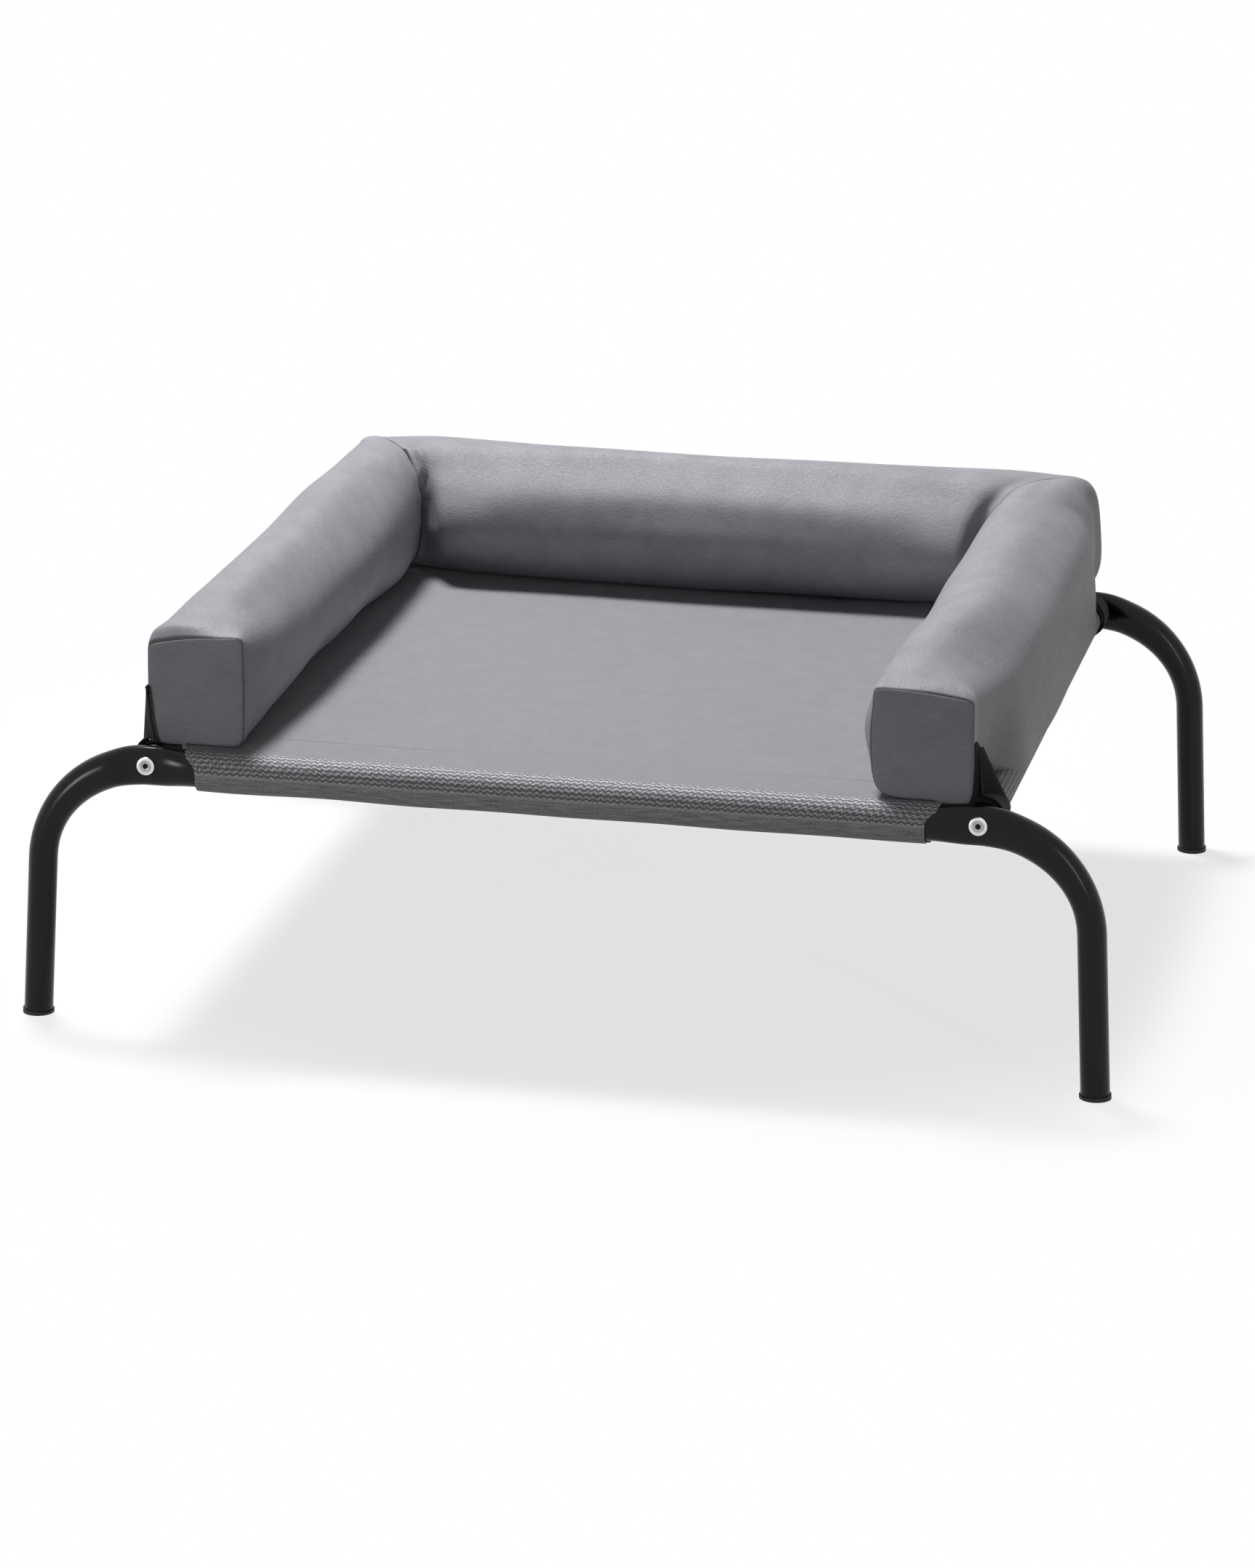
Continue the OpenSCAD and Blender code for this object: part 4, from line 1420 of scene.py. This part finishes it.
def floor_finish():
    """Diffuse grey with a glow that only the camera sees, clear from below."""
    material = bpy.data.materials.new("floor_white")
    net = Net(material)
    place = {0: net.place(), 1: FLOOR_MIDDLE}
    reach = net.node("ShaderNodeVectorMath", place, operation="DISTANCE").outputs["Value"]
    away = net.span(reach, *FLOOR_RANGE, kind="SMOOTHSTEP")
    base = net.node("ShaderNodeBsdfDiffuse", {"Color": net.span(away, 0, 1, FLOOR_GREY, 0)})
    level = net.times(seen_ray(net), net.span(away, 0, 1, FLOOR_LIFT, 1))
    glow = net.node("ShaderNodeEmission", {"Strength": level})
    above = net.node("ShaderNodeAddShader", {0: base.outputs[0], 1: glow.outputs[0]})
    below = net.node("ShaderNodeBsdfTransparent")
    back = net.node("ShaderNodeNewGeometry").outputs["Backfacing"]
    pick = net.node("ShaderNodeMixShader", {0: back, 1: above.outputs[0], 2: below.outputs[0]})
    net.node("ShaderNodeOutputMaterial", {"Surface": pick.outputs[0]})
    return material


def make_floor():
    mesh = bpy.data.meshes.new("floor")
    half = FLOOR_SIZE / 2
    corners = [(-half, -half, 0), (half, -half, 0), (half, half, 0), (-half, half, 0)]
    mesh.from_pydata(corners, [], [(0, 1, 2, 3)])
    mesh.materials.append(floor_finish())
    linked("floor", mesh)


def make_world():
    """White where the camera sees it, and a faint light elsewhere."""
    world = bpy.data.worlds.new("studio")
    bpy.context.scene.world = world
    net = Net(world)
    level = net.span(seen_ray(net), 0, 1, WORLD_LIGHT, 1)
    sky = net.node("ShaderNodeBackground", {"Color": opaque(WHITE), "Strength": level})
    net.node("ShaderNodeOutputWorld", {"Surface": sky.outputs[0]})


def area_light(name, at, aim, size, power):
    data = bpy.data.lights.new(name, "AREA")
    data.shape = "RECTANGLE"
    data.size, data.size_y = size
    data.energy = power
    lamp = linked(name, data)
    lamp.location = at
    lamp.rotation_mode = "QUATERNION"
    lamp.rotation_quaternion = (Vector(aim) - Vector(at)).to_track_quat("-Z", "Y")


def make_camera():
    data = bpy.data.cameras.new("camera")
    data.sensor_width = SENSOR
    data.lens = FOCAL_PX * SENSOR / PHOTO_H
    data.clip_end = CAMERA_END
    camera = linked("camera", data)
    aim = Matrix.Rotation(CAMERA_YAW, 4, "Z") @ Matrix.Rotation(math.pi / 2 - CAMERA_PITCH, 4, "X")
    roll = Matrix.Rotation(CAMERA_ROLL, 4, "Z")
    camera.matrix_world = Matrix.Translation(CAMERA_AT) @ aim @ roll
    bpy.context.scene.camera = camera


make_floor()
make_world()
for name, settings in LAMPS.items():
    area_light(name, *settings)
make_camera()
bpy.context.scene.view_settings.view_transform = "Standard"

bpy.context.view_layer.update()
